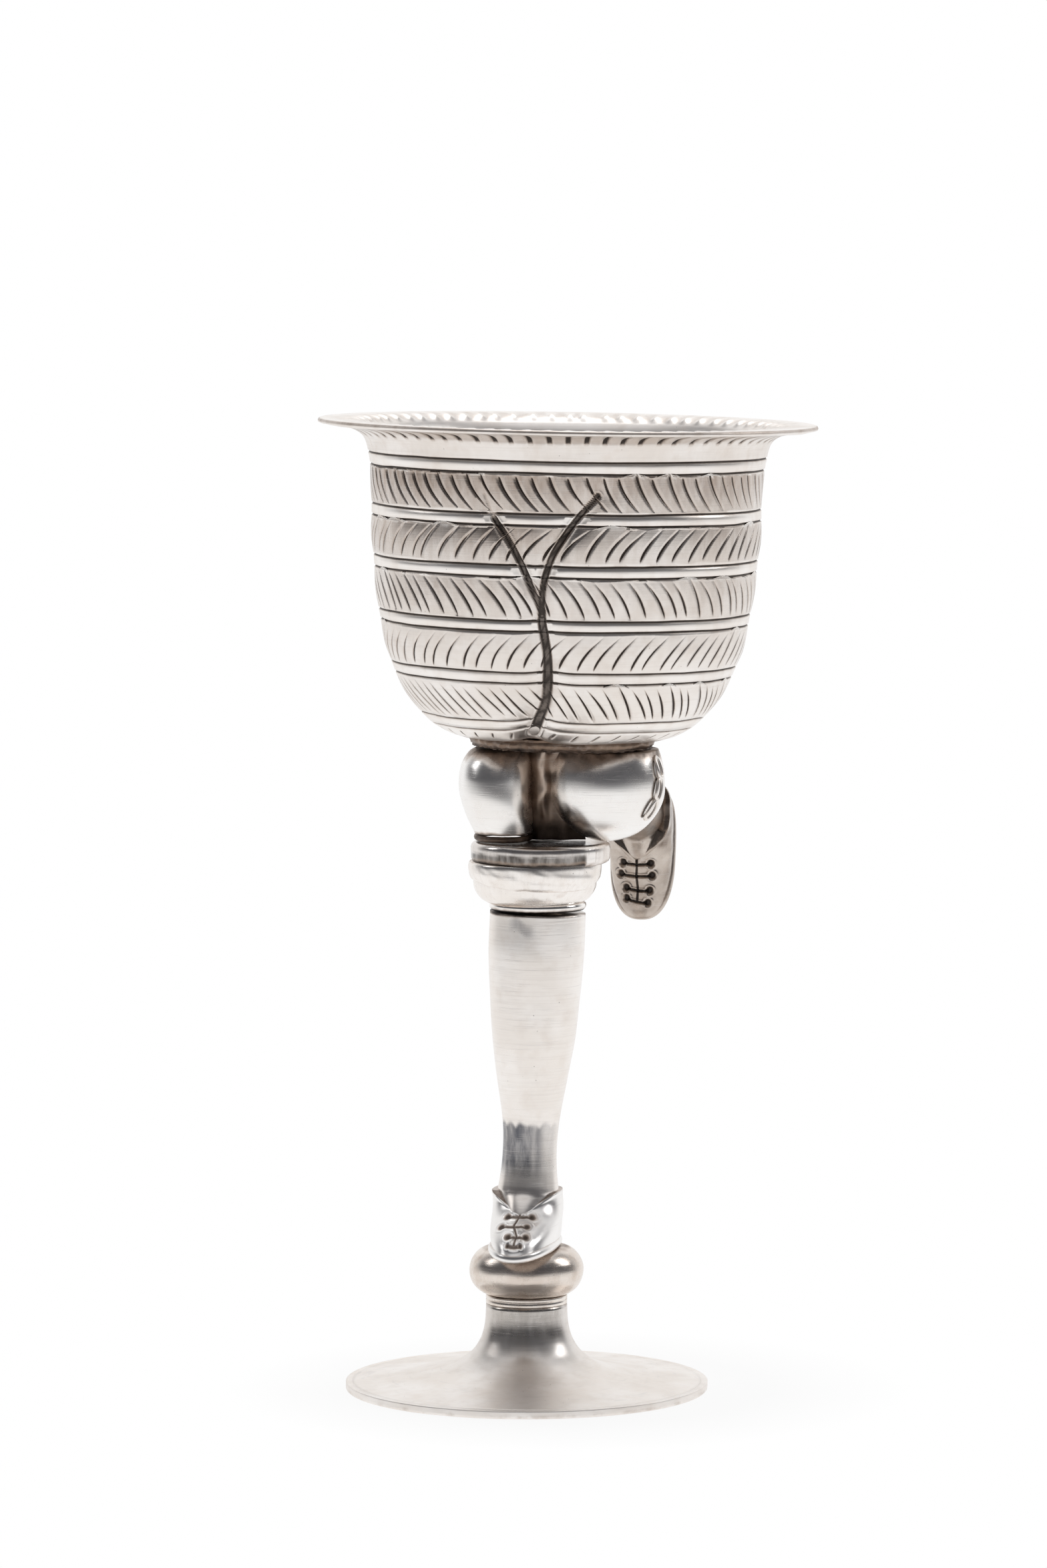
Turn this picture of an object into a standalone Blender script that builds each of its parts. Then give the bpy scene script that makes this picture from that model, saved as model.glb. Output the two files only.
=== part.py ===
# A silver chalice whose bowl stands on two legs: one straight leg carries it on a knop
# and a trumpet foot, the other bends back at the knee with its laced shoe hanging down.
# Every piece is raised, turned or cast on its own and then soldered to its neighbours.
# Units are metres, +Z is up, the front is -Y. Heights run up from the table.

from math import asin, copysign, cos, hypot, pi, radians, sin, sqrt

import bmesh
import bpy
from mathutils import Matrix, Vector

MM = 0.001

# Joints between pieces, and the sheet they are raised from
GAP = 0.3 * MM
SHEET = 1.0 * MM
CALF_SHEET = 1.2 * MM

# Foot
STEM_X = -7.4 * MM
FOOT_RADIUS = 32.7 * MM
FOOT_EDGE_HEIGHT = 1.25 * MM
FOOT_EDGE_WIDTH = 1.5 * MM
FOOT_EDGE_STEP = 0.25 * MM
FOOT_HEIGHT = 15.6 * MM
NECK_RADIUS = 7.25 * MM
FOOT_SHEET = 0.9 * MM
# Trumpet outline: share of the way from neck to edge, share of the rise
FOOT_OUTLINE = [(0.0, 1.0), (0.02, 0.77), (0.1, 0.45), (0.24, 0.29), (0.55, 0.13), (1.0, 0.0)]

# Collar ring and knop
COLLAR_HEIGHT = 1.0 * MM
COLLAR_PROUD = 0.1 * MM
COLLAR_WIDTH = 2.2 * MM
KNOP_RADIUS = 10.3 * MM
KNOP_HEIGHT = 8.8 * MM
KNOP_FLAT = 6.2 * MM
KNOP_BORE = 4.2 * MM
KNOP_SEAM = 0.33

# Shoes: length splits at the ankle, heights from under the sole
HEEL_REACH = 6.5 * MM
TOE_REACH = 19.0 * MM
SHOE_HEIGHT = 9.9 * MM
SOLE_HEIGHT = 1.3 * MM
SOLE_WIDTH = 12.0 * MM
WELT_PROUD = 0.3 * MM
HEEL_SQUARENESS = 0.6
TOE_SQUARENESS = 0.82
TONGUE_DEPTH = 3.6 * MM
THROAT_OVER = 1.5 * MM
THROAT_BACK = 0.35
POCKET_FLOOR = 5.0 * MM
SHOE_WALL = 0.45 * MM
SHOE_FLARE = 0.3
SOLE_SHARE = 0.96
WELT_SHARE = 0.35
SOLE_WIDEST = 0.35
# Upper: share of the height, of toe reach, of heel reach, widest place towards the toe, share of width
SHOE_LEVELS = [
    (0.0, 0.97, 0.95, 0.26, 0.95),
    (0.2, 0.88, 0.99, 0.22, 0.97),
    (0.38, 0.69, 1.0, 0.16, 0.98),
    (0.56, 0.47, 1.0, 0.05, 1.0),
    (0.76, 0.36, 0.99, 0.0, 1.0),
    (1.0, 0.325, 0.95, 0.0, 1.0),
]
STANDING_YAW = 10.0
STANDING_ASIDE = 0.6 * MM
HANGING_SWING = 9.9
HANGING_DROP = 13.5
KNEE_TO_SOLE = 44.5 * MM

# Calves: thin at the ankle, full under the knee
ANKLE_RADIUS = 4.87 * MM
CALF_RADIUS = 8.6 * MM
CALF_LENGTH = 50.4 * MM
CALF_LEAN = 1.9
BENT_ANKLE_RADIUS = 4.5 * MM
BENT_CALF_RADIUS = 7.2 * MM
ANKLE_TUCK = -0.1 * MM
# Inside the shoe: share of the pocket's depth, share of the width, share of the depth forward
ANKLE_END = [(1.0, 0.86, 0.16), (0.5, 0.95, 0.09)]
# Share of the length above the shoe, share of the swell from ankle to calf
CALF_OUTLINE = [
    (0.0, 0.18), (0.08, 0.05), (0.16, 0.0), (0.24, 0.06), (0.33, 0.24),
    (0.43, 0.47), (0.55, 0.7), (0.7, 0.88), (0.85, 1.0), (1.0, 0.98),
]

HOLLOW_FROM = 3

# Stocking band and the three folds of the cuff
BAND_HEIGHT = 1.1 * MM
BAND_WIDTH = 2.6 * MM
LOWER_ROLL_HEIGHT = 3.9 * MM
MIDDLE_ROLL_HEIGHT = 2.8 * MM
TOP_ROLL_HEIGHT = 3.5 * MM
CUFF_RADIUS = 12.55 * MM
MIDDLE_ROLL_RADIUS = 11.7 * MM
LOWER_ROLL_RADIUS = 11.0 * MM
LOWER_ROLL_BELLY = 0.55
MIDDLE_ROLL_BELLY = 0.2 * MM
CUFF_SHIFT = 0.5 * MM
ROLL_SHIFT = -0.5 * MM
CUFF_EDGE = 0.5 * MM

# Knees, the web between them and the plate they carry
KNEE_HEIGHT = 16.8 * MM
WEB_SHIFT = 0.2 * MM
WEB_THICKNESS = 2.5 * MM
WEB_FRONT = 7.5 * MM
WEB_LENGTH = 12.4 * MM
WEB_WALL = 2.5 * MM
WEB_EDGE = 0.25 * MM
LEFT_KNEE_WIDTH = 13.3 * MM
LEFT_KNEE_DEPTH = 19.0 * MM
KNEE_RING_WIRE = 0.5 * MM
# Left knee: share of the height, share of the width, share of the depth
LEFT_KNEE_OUTLINE = [
    (0.0, 0.79, 0.74), (0.2, 0.9, 0.9), (0.45, 0.985, 1.0),
    (0.66, 1.0, 1.0), (0.86, 0.93, 0.92), (1.0, 0.77, 0.76),
]
RIGHT_KNEE_RADIUS = 10.25 * MM
RIGHT_KNEE_TOP = 9.1 * MM
RIGHT_KNEE_WIDEST = 0.6
RIGHT_KNEE_FORWARD = 3.0 * MM
KNEE_CLEARANCE_RISE = 3.0 * MM
SEAT_RADIUS = 16.9 * MM
SEAT_HEIGHT = 1.0 * MM
SEAT_LIP = 0.5 * MM
SEAT_SHIFT = 3.89 * MM

# Garter chain on the outer side of the bent knee, behind or before its middle
LINK_COUNT = 3
LINK_LENGTH = 4.6 * MM
LINK_WIDTH = 2.2 * MM
LINK_WIRE = 0.34 * MM
LINK_OVERLAP = 1.5
CHAIN_BEHIND = -3.6 * MM
CHAIN_START = 17.0

# Bowl
BOWL_DEPTH = 56.4 * MM
BOWL_RADIUS = 34.9 * MM
BOWL_FLAT = 17.0 * MM
RIM_RADIUS = 44.7 * MM
RIM_DROP = 3.7 * MM
BOWL_SHEET = 1.0 * MM
BOWL_LEAN = 1.0
# Body of the bowl below the flare: share of the radius, share of the height
BOWL_OUTLINE = [
    (0.566, 0.014), (0.7, 0.06), (0.803, 0.147), (0.915, 0.305),
    (0.974, 0.52), (0.997, 0.76), (1.013, 0.91), (1.045, 1.0),
]
# Flare: share of the way out to the rim, share of the climb
FLARE_OUTLINE = [(0.3, 0.6), (1.0, 0.8)]

# The Y-shaped crease on the bowl's front: distance across, height above the bowl's bottom
CREASE_WIDTH = 1.7 * MM
CREASE_DEPTH = 0.45 * MM
LEFT_CREASE = [
    (-13.9 * MM, 44.7 * MM), (-9.6 * MM, 37.0 * MM), (-5.9 * MM, 29.5 * MM), (-4.1 * MM, 24.5 * MM),
]
RIGHT_CREASE = [
    (6.0 * MM, 44.7 * MM), (0.3 * MM, 37.6 * MM), (-3.2 * MM, 30.1 * MM), (-3.7 * MM, 24.5 * MM),
]
CREASE_STEM = [
    (-3.9 * MM, 26.0 * MM), (-2.3 * MM, 14.8 * MM), (-2.7 * MM, 6.9 * MM), (-4.2 * MM, 1.4 * MM),
]

# Silver: polished, worn and darkened
BRIGHT = (0.86, 0.84, 0.81)
WORN = (0.76, 0.72, 0.68)
DARK = (0.42, 0.35, 0.3)

# Fineness of the round shapes
BOWL_STEPS = 48
FOOT_STEPS = 40
ROLL_STEPS = 28
KNEE_STEPS = 24
KNOP_STEPS = 28
SEAT_STEPS = 32
LEG_STEPS = 20
SHOE_STEPS = 20


def clear_scene():
    for thing in list(bpy.data.objects):
        bpy.data.objects.remove(thing, do_unlink=True)


def collection(name):
    group = bpy.data.collections.new(name)
    bpy.context.scene.collection.children.link(group)
    return group


def silver(name, colour, roughness):
    finish = bpy.data.materials.new(name)
    finish.use_nodes = True
    shader = finish.node_tree.nodes["Principled BSDF"]
    shader.inputs["Base Color"].default_value = (*colour, 1.0)
    shader.inputs["Metallic"].default_value = 1.0
    shader.inputs["Roughness"].default_value = roughness
    return finish


def empty(name, parent, location, rotation=(0.0, 0.0, 0.0)):
    guide = bpy.data.objects.new(name, None)
    PIECES.objects.link(guide)
    guide.parent = parent
    guide.location = location
    guide.rotation_euler = rotation
    return guide


def piece(name, mesh, parent, colour, roughness):
    thing = bpy.data.objects.new(name, mesh)
    PIECES.objects.link(thing)
    thing.parent = parent
    mesh.materials.append(silver(name, colour, roughness))
    return thing


def cutter(name, mesh, parent):
    thing = bpy.data.objects.new(name, mesh)
    CUTTERS.objects.link(thing)
    thing.parent = parent
    thing.hide_render = True
    thing.display_type = "WIRE"
    return thing


def boolean(thing, other, operation):
    step = thing.modifiers.new(other.name, "BOOLEAN")
    step.operation = operation
    step.object = other


def through(points, spans):
    # A smooth run through the points, with a few steps from each to the next
    run = []
    last = len(points) - 1
    for i in range(last):
        before = points[max(i - 1, 0)]
        after = points[min(i + 2, last)]
        for k in range(spans):
            t = k / spans
            run.append(tuple(between(*four, t) for four in zip(before, points[i], points[i + 1], after)))
    run.append(tuple(points[last]))
    return run


def between(a, b, c, d, t):
    square = a - 2.5 * b + 2.0 * c - 0.5 * d
    cube = 0.5 * (d - a) + 1.5 * (b - c)
    return b + t * (0.5 * (c - a) + t * (square + t * cube))


def at_height(outline, height):
    # The first value of an outline whose second value rises with it
    for (low, z0), (high, z1) in zip(outline, outline[1:]):
        if min(z0, z1) <= height <= max(z0, z1) and z0 != z1:
            return low + (high - low) * (height - z0) / (z1 - z0)
    return outline[-1][0]


def profile_mesh(name, profile, closed):
    mesh = bpy.data.meshes.new(name)
    edges = [(i, i + 1) for i in range(len(profile) - 1)]
    if closed:
        edges.append((len(profile) - 1, 0))
    mesh.from_pydata([(r, 0.0, z) for r, z in profile], edges, [])
    return mesh


def turn(thing, steps):
    screw = thing.modifiers.new("Turn", "SCREW")
    screw.steps = steps
    screw.render_steps = steps
    screw.use_merge_vertices = True
    screw.merge_threshold = 0.00001
    screw.use_smooth_shade = True


def thicken(thing, sheet):
    wall = thing.modifiers.new("Sheet", "SOLIDIFY")
    wall.thickness = sheet
    wall.offset = -1.0
    wall.use_even_offset = True


def turned_sheet(name, profile, parent, steps, sheet, colour, roughness):
    # The profile is the outer side, from top to bottom; the sheet lies inside it
    thing = piece(name, profile_mesh(name, profile, False), parent, colour, roughness)
    turn(thing, steps)
    thicken(thing, sheet)
    return thing


def turned(name, profile, parent, steps, colour, roughness, closed=True):
    # A whole section: a closed loop, or an open run that begins and ends on the axis
    thing = piece(name, profile_mesh(name, profile, closed), parent, colour, roughness)
    turn(thing, steps)
    return thing


def loft_mesh(name, rings):
    # A skin over rings of equally many points, closed by a flat face at each end
    mesh = bpy.data.meshes.new(name)
    form = bmesh.new()
    rows = [[form.verts.new(point) for point in ring] for ring in rings]
    count = len(rows[0])
    for low, high in zip(rows, rows[1:]):
        for i in range(count):
            j = (i + 1) % count
            form.faces.new((low[i], low[j], high[j], high[i]))
    form.faces.new(list(reversed(rows[0])))
    form.faces.new(rows[-1])
    bmesh.ops.recalc_face_normals(form, faces=form.faces)
    form.to_mesh(mesh)
    form.free()
    mesh.shade_smooth()
    mesh.set_sharp_from_angle(angle=radians(40.0))
    return mesh


def oval(x, y, z, half_width, half_depth, steps):
    turns = [2.0 * pi * i / steps for i in range(steps)]
    return [(x + half_width * cos(a), y + half_depth * sin(a), z) for a in turns]


def last_shape(x, z, toe, heel, widest, half_width):
    # A shoemaker's outline: rounded toe at -Y, rounder heel at +Y, widest at one place
    ring = []
    for i in range(SHOE_STEPS):
        a = 2.0 * pi * i / SHOE_STEPS
        behind = sin(a) > 0.0
        square = HEEL_SQUARENESS if behind else TOE_SQUARENESS
        reach = (heel if behind else -toe) - (widest if behind else -widest)
        side = copysign(abs(cos(a)) ** square, cos(a))
        along = copysign(abs(sin(a)) ** square, sin(a))
        ring.append((x + half_width * side, widest + reach * along, z))
    return ring


def wire_loop(name, long_radius, wide_radius, wire, steps, sides):
    # A torus of unit radius drawn out to an oval, its wire still round
    bpy.ops.mesh.primitive_torus_add(
        major_segments=steps, minor_segments=sides, major_radius=1.0, minor_radius=wire,
    )
    maker = bpy.context.object
    mesh = maker.data
    mesh.name = name
    for vertex in mesh.vertices:
        flat = Vector((vertex.co.x, vertex.co.y))
        out = flat.length - 1.0
        way = flat.normalized()
        vertex.co.x = way.x * (long_radius + out)
        vertex.co.y = way.y * (wide_radius + out)
    mesh.shade_smooth()
    bpy.data.objects.remove(maker)
    return mesh


def wire_ring(name, radii, place, wire, colour, roughness):
    ring = piece(name, wire_loop(name, *radii, wire, KNEE_STEPS, 6), None, colour, roughness)
    ring.location = place
    return ring


def box_mesh(name, size):
    mesh = bpy.data.meshes.new(name)
    form = bmesh.new()
    bmesh.ops.create_cube(form, size=1.0)
    bmesh.ops.scale(form, vec=size, verts=form.verts)
    form.to_mesh(mesh)
    form.free()
    return mesh


def foot():
    # Trumpet foot of sheet, its underside hollow, let into a flat edge ring
    edge_top = FOOT_EDGE_HEIGHT + FOOT_EDGE_STEP
    outer = FOOT_RADIUS - FOOT_EDGE_WIDTH - GAP
    reach = outer - NECK_RADIUS
    rise = FOOT_HEIGHT - edge_top
    outline = [(NECK_RADIUS + reach * out, edge_top + rise * up) for out, up in FOOT_OUTLINE]
    turned_sheet("foot", through(outline, 2), STEM, FOOT_STEPS, FOOT_SHEET, WORN, 0.28)
    inner = FOOT_RADIUS - FOOT_EDGE_WIDTH
    soft = 0.15 * FOOT_EDGE_HEIGHT
    band = [
        (inner, FOOT_EDGE_HEIGHT), (FOOT_RADIUS - soft, FOOT_EDGE_HEIGHT),
        (FOOT_RADIUS, FOOT_EDGE_HEIGHT - soft), (FOOT_RADIUS, 0.0), (inner, 0.0),
    ]
    turned("foot_edge_ring", band, STEM, FOOT_STEPS, WORN, 0.32)


def collar_and_knop():
    # A thin ring, then the cushion knop raised as two shells that meet at a seam
    low = FOOT_HEIGHT + GAP
    high = low + COLLAR_HEIGHT
    outer = NECK_RADIUS + COLLAR_PROUD
    inner = outer - COLLAR_WIDTH
    soft = 0.3 * COLLAR_HEIGHT
    ring = [
        (inner, high), (outer - soft, high), (outer, high - soft),
        (outer, low + soft), (outer - soft, low), (inner, low),
    ]
    turned("neck_collar", ring, STEM, KNOP_STEPS, DARK, 0.4)
    bottom = high + GAP
    half = KNOP_HEIGHT / 2.0
    seam = asin(2.0 * KNOP_SEAM - 1.0)
    slack = 0.6 * GAP / (half * cos(seam))
    above = [pi / 2.0 + (seam + slack - pi / 2.0) * i / 6 for i in range(7)]
    below = [seam - slack + (-pi / 2.0 - seam + slack) * i / 4 for i in range(5)]
    top = bottom + 2.0 * half
    upper = [(0.0, top)] + knop_side(bottom + half, above, 0.0)
    upper += list(reversed(knop_side(bottom + half, above, SHEET))) + [(0.0, top - SHEET)]
    turned("knop_upper", upper, STEM, KNOP_STEPS, WORN, 0.25, closed=False)
    lower = knop_side(bottom + half, below, 0.0) + [(KNOP_BORE, bottom), (KNOP_BORE, bottom + SHEET)]
    lower += list(reversed(knop_side(bottom + half, below, SHEET)))
    turned("knop_lower", lower, STEM, KNOP_STEPS, WORN, 0.25)


def knop_side(middle, sweep, inset):
    bulge = KNOP_RADIUS - KNOP_FLAT - inset
    rise = KNOP_HEIGHT / 2.0 - inset
    return [(KNOP_FLAT + bulge * cos(a), middle + rise * sin(a)) for a in sweep]


def calf_rings(length, ankle, swell, grow):
    # Rings of a leg from inside its shoe up to the knee, in the shoe's own frame
    inside = ankle_inside(ankle, swell)
    low = SHOE_HEIGHT - POCKET_FLOOR
    deep = inside + grow
    rings = []
    for down, narrow, forward in ANKLE_END:
        z = SHOE_HEIGHT - down * low - (grow if down == 1.0 else 0.0)
        rings.append(oval(0.0, -forward * low, z, narrow * inside + grow, deep, LEG_STEPS))
    for up, share in CALF_OUTLINE:
        radius = ankle + share * (swell - ankle) + grow
        rings.append(oval(0.0, 0.0, SHOE_HEIGHT + up * length, radius, radius, LEG_STEPS))
    return rings


def ankle_inside(ankle, swell):
    return ankle + CALF_OUTLINE[0][1] * (swell - ankle) + ANKLE_TUCK


def hollow_rings(length, ankle, swell):
    # The leg's hollow, from just over the ankle out through its upper end
    rings = []
    for up, share in CALF_OUTLINE[HOLLOW_FROM:]:
        radius = ankle + share * (swell - ankle) - CALF_SHEET
        rings.append(oval(0.0, 0.0, SHOE_HEIGHT + up * length, radius, radius, LEG_STEPS))
    rings.append([(x, y, z + GAP) for x, y, z in rings[-1]])
    return rings


def shoe(name, frame, leg_frame, aside, length, ankle, swell, colour, roughness):
    # A flat sole, and an upper with a pocket for the ankle and an open throat in front
    half = SOLE_WIDTH / 2.0
    inside = ankle_inside(ankle, swell)
    wide = max(half, inside + GAP + SHOE_WALL)
    bottom = SOLE_HEIGHT + GAP
    rise = SHOE_HEIGHT - bottom
    levels = []
    for up, toe, heel, widest, share in through(SHOE_LEVELS, 2):
        width = share * (half + (wide - half) * min(up / SHOE_FLARE, 1.0))
        reach = (-TOE_REACH * toe, HEEL_REACH * heel, -TOE_REACH * widest)
        levels.append(last_shape(aside * (1.0 - up), bottom + rise * up, *reach, width))
    upper = piece(name + "_upper", loft_mesh(name + "_upper", levels), frame, colour, roughness)
    room = loft_mesh(name + "_pocket", calf_rings(length, ankle, swell, GAP))
    pocket = cutter(name + "_pocket", room, leg_frame)
    boolean(upper, pocket, "DIFFERENCE")
    throat = cutter(name + "_throat", throat_mesh(name, inside), frame)
    boolean(upper, throat, "DIFFERENCE")
    soles = []
    for z in (0.0, WELT_SHARE * SOLE_HEIGHT, SOLE_HEIGHT):
        trim = WELT_PROUD if z > 0.0 else 0.0
        toe = SOLE_SHARE * TOE_REACH + trim
        heel = SOLE_SHARE * HEEL_REACH + trim
        soles.append(last_shape(aside, z, -toe, heel, -SOLE_WIDEST * TOE_REACH, SOLE_SHARE * half + trim))
    piece(name + "_sole", loft_mesh(name + "_sole", soles), frame, colour, roughness)


def throat_mesh(name, inside):
    # A wedge that opens the front of the collar into a V
    over = THROAT_OVER
    low = SHOE_HEIGHT - TONGUE_DEPTH
    half = inside * (TONGUE_DEPTH + over) / TONGUE_DEPTH
    front = -TOE_REACH
    back = -THROAT_BACK * inside
    rings = [
        [(0.0, y, low), (half, y, SHOE_HEIGHT + over), (-half, y, SHOE_HEIGHT + over)]
        for y in (front, back)
    ]
    return loft_mesh(name + "_throat", rings)


def standing_leg():
    sole = FOOT_HEIGHT + COLLAR_HEIGHT + KNOP_HEIGHT + 3.0 * GAP
    yaw = radians(-STANDING_YAW)
    lean = radians(CALF_LEAN)
    frame = empty("standing_shoe_axis", STEM, (0.0, 0.0, sole), (0.0, 0.0, yaw))
    leg = empty("standing_leg_axis", STEM, (0.0, 0.0, sole), (0.0, lean, yaw))
    leg.rotation_mode = "ZYX"
    limb = (CALF_LENGTH, ANKLE_RADIUS, CALF_RADIUS)
    shoe("standing_shoe", frame, leg, STANDING_ASIDE, *limb, BRIGHT, 0.2)
    calf = piece("standing_calf", loft_mesh("standing_calf", calf_rings(*limb, 0.0)), leg, BRIGHT, 0.25)
    inner = loft_mesh("standing_calf_hollow", hollow_rings(*limb))
    boolean(calf, cutter("standing_calf_hollow", inner, leg), "DIFFERENCE")
    top = SHOE_HEIGHT + CALF_LENGTH
    return STEM_X + top * sin(radians(CALF_LEAN)), sole + top * cos(radians(CALF_LEAN))


def cuff(x, z):
    # Stocking band and a cuff of three folds, stacked on the calf's open end
    lean = CALF_RADIUS * sin(radians(CALF_LEAN))
    axis = empty("cuff_axis", None, (x, 0.0, 0.0))
    low = z + lean + GAP
    high = low + BAND_HEIGHT
    soft = 0.3 * BAND_HEIGHT
    inner = CALF_RADIUS - BAND_WIDTH
    band = [
        (inner, high), (CALF_RADIUS - soft, high), (CALF_RADIUS, high - soft),
        (CALF_RADIUS, low + soft), (CALF_RADIUS - soft, low), (inner, low),
    ]
    turned("stocking_band", band, axis, ROLL_STEPS, BRIGHT, 0.3)
    folded = empty("cuff_rolls_axis", None, (x + ROLL_SHIFT, 0.0, 0.0))
    low = high + GAP
    high = low + LOWER_ROLL_HEIGHT
    start = CALF_RADIUS + GAP
    belly = start + LOWER_ROLL_BELLY * (LOWER_ROLL_RADIUS - start)
    lower = through([(LOWER_ROLL_RADIUS, high), (belly, low + 0.45 * LOWER_ROLL_HEIGHT), (start, low)], 2)
    turned_sheet("cuff_lower_roll", lower, folded, ROLL_STEPS, SHEET, WORN, 0.3)
    low = high + GAP
    high = low + MIDDLE_ROLL_HEIGHT
    bulge = MIDDLE_ROLL_RADIUS + MIDDLE_ROLL_BELLY
    middle = through([(MIDDLE_ROLL_RADIUS, high), (bulge, (low + high) / 2.0), (LOWER_ROLL_RADIUS, low)], 2)
    turned_sheet("cuff_middle_roll", middle, folded, ROLL_STEPS, SHEET, BRIGHT, 0.3)
    shifted = empty("cuff_top_axis", None, (x + CUFF_SHIFT, 0.0, 0.0))
    low = high + GAP
    high = low + TOP_ROLL_HEIGHT
    side = [
        (0.0, high), (CUFF_RADIUS - CUFF_EDGE, high), (CUFF_RADIUS, high - CUFF_EDGE),
        (CUFF_RADIUS, low + CUFF_EDGE), (CUFF_RADIUS - 0.6 * CUFF_EDGE, low),
    ]
    turned_sheet("cuff_top_roll", side, shifted, ROLL_STEPS, SHEET, DARK, 0.3)
    return x + CUFF_SHIFT, high


def knees(x, cuff_top):
    # Two hollow knees with a web between them, all open upwards under the seat plate
    web_x = x + WEB_SHIFT
    lean_drop = SEAT_RADIUS * sin(radians(BOWL_LEAN))
    seat_low = cuff_top + KNEE_HEIGHT + 2.0 * GAP
    top = seat_low - GAP - lean_drop
    side = WEB_THICKNESS / 2.0 + GAP
    ring_z = cuff_top + GAP + KNEE_RING_WIRE
    left_low = ring_z + KNEE_RING_WIRE + GAP
    right_limit = web_x - side
    rise = top - left_low
    outer = left_knee_rings(right_limit, left_low, rise, 0.0)
    left = piece("left_knee", loft_mesh("left_knee", outer), None, BRIGHT, 0.15)
    hollow = left_knee_rings(right_limit, left_low, rise, -SHEET)[1::2]
    hollow.append([(x, y, top + GAP) for x, y, _ in hollow[-1]])
    boolean(left, cutter("left_knee_hollow", loft_mesh("left_knee_hollow", hollow), None), "DIFFERENCE")
    _, wide, deep = LEFT_KNEE_OUTLINE[0]
    ring_wide = wide * LEFT_KNEE_WIDTH / 2.0
    radii = (ring_wide - KNEE_RING_WIRE, deep * LEFT_KNEE_DEPTH / 2.0 - KNEE_RING_WIRE)
    wire_ring("knee_ring", radii, (right_limit - ring_wide, 0.0, ring_z), KNEE_RING_WIRE, DARK, 0.3)

    low = cuff_top + GAP
    rise_to_widest = RIGHT_KNEE_WIDEST * (top - low)
    centre = Vector((web_x + side + RIGHT_KNEE_RADIUS, -RIGHT_KNEE_FORWARD, low + rise_to_widest))
    ball_axis = empty("bent_knee_centre", None, centre)
    above = top - centre.z
    ball = right_knee_side(rise_to_widest, above, 0.0)
    turned_sheet("right_knee", ball, ball_axis, KNEE_STEPS, SHEET, BRIGHT, 0.12)
    near = right_knee_side(rise_to_widest, above, GAP)
    over = above + KNEE_CLEARANCE_RISE
    room = [(0.0, over), (near[0][0], over)] + near
    around = cutter("right_knee_clearance", profile_mesh("right_knee_clearance", room, False), ball_axis)
    turn(around, KNEE_STEPS)
    beside = left_knee_rings(right_limit, left_low, rise, GAP)
    below = [(x, y, cuff_top) for x, y, _ in beside[0]]
    beyond = [(x, y, top + GAP) for x, y, _ in beside[-1]]
    left_mesh = loft_mesh("left_knee_clearance", [below] + beside + [beyond])
    knee_web(web_x, low, top, centre, around, cutter("left_knee_clearance", left_mesh, None))
    return centre, around, seat_low, above


def left_knee_rings(right_limit, low, rise, grow):
    # The side next to the web stays upright, so the knee bulges outwards
    half = LEFT_KNEE_WIDTH / 2.0
    deep = LEFT_KNEE_DEPTH / 2.0
    rings = []
    for up, wide, depth in through(LEFT_KNEE_OUTLINE, 2):
        size = (half * wide + grow, deep * depth + grow)
        rings.append(oval(right_limit - half * wide, 0.0, low + rise * up, *size, KNEE_STEPS))
    return rings


def right_knee_side(below, above, grow):
    # Round under the widest place, steeper above it, from the open top down
    cut = sqrt(1.0 - (RIGHT_KNEE_TOP / RIGHT_KNEE_RADIUS) ** 2)
    radius = RIGHT_KNEE_RADIUS + grow
    start = asin(cut)
    side = []
    for i in range(3):
        a = start * (1.0 - i / 3)
        side.append((radius * cos(a), above * sin(a) / cut + (grow if i == 0 else 0.0)))
    for i in range(7):
        a = -pi / 2.0 * i / 7
        side.append((radius * cos(a), (below + grow) * sin(a)))
    side.append((0.0, -below - grow))
    return side


def knee_web(x, low, top, right_centre, around, left_room):
    # A wall fitted between the knees down to the cuff, with a rib that shows in front
    wall_width = 2.0 * (right_centre.x - x)
    wall = (wall_width, WEB_WALL, top - low)
    web = piece("knee_web", box_mesh("knee_web", wall), None, DARK, 0.45)
    web.location = (x, WEB_WALL / 2.0, (low + top) / 2.0)
    bevel = web.modifiers.new("Soft edges", "BEVEL")
    bevel.width = WEB_EDGE
    bevel.segments = 2
    depth = WEB_FRONT + WEB_WALL / 2.0
    rib = cutter("web_rib", box_mesh("web_rib", (WEB_THICKNESS, depth, WEB_LENGTH)), None)
    rib.location = (x, WEB_WALL / 2.0 - depth / 2.0, top - WEB_LENGTH / 2.0)
    boolean(web, rib, "UNION")
    boolean(web, around, "DIFFERENCE")
    boolean(web, left_room, "DIFFERENCE")


def shin_frame():
    # Local +Z runs from the sole up the shin to the knee, -Y towards the toe
    swing = radians(HANGING_SWING)
    drop = radians(HANGING_DROP)
    shin = Vector((sin(swing) * cos(drop), cos(swing) * cos(drop), -sin(drop)))
    down = Vector((0.0, 0.0, -1.0))
    toe = (down - shin * down.dot(shin)).normalized()
    up = -shin
    heel = -toe
    across = heel.cross(up)
    return shin, Matrix((across, heel, up)).transposed()


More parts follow.
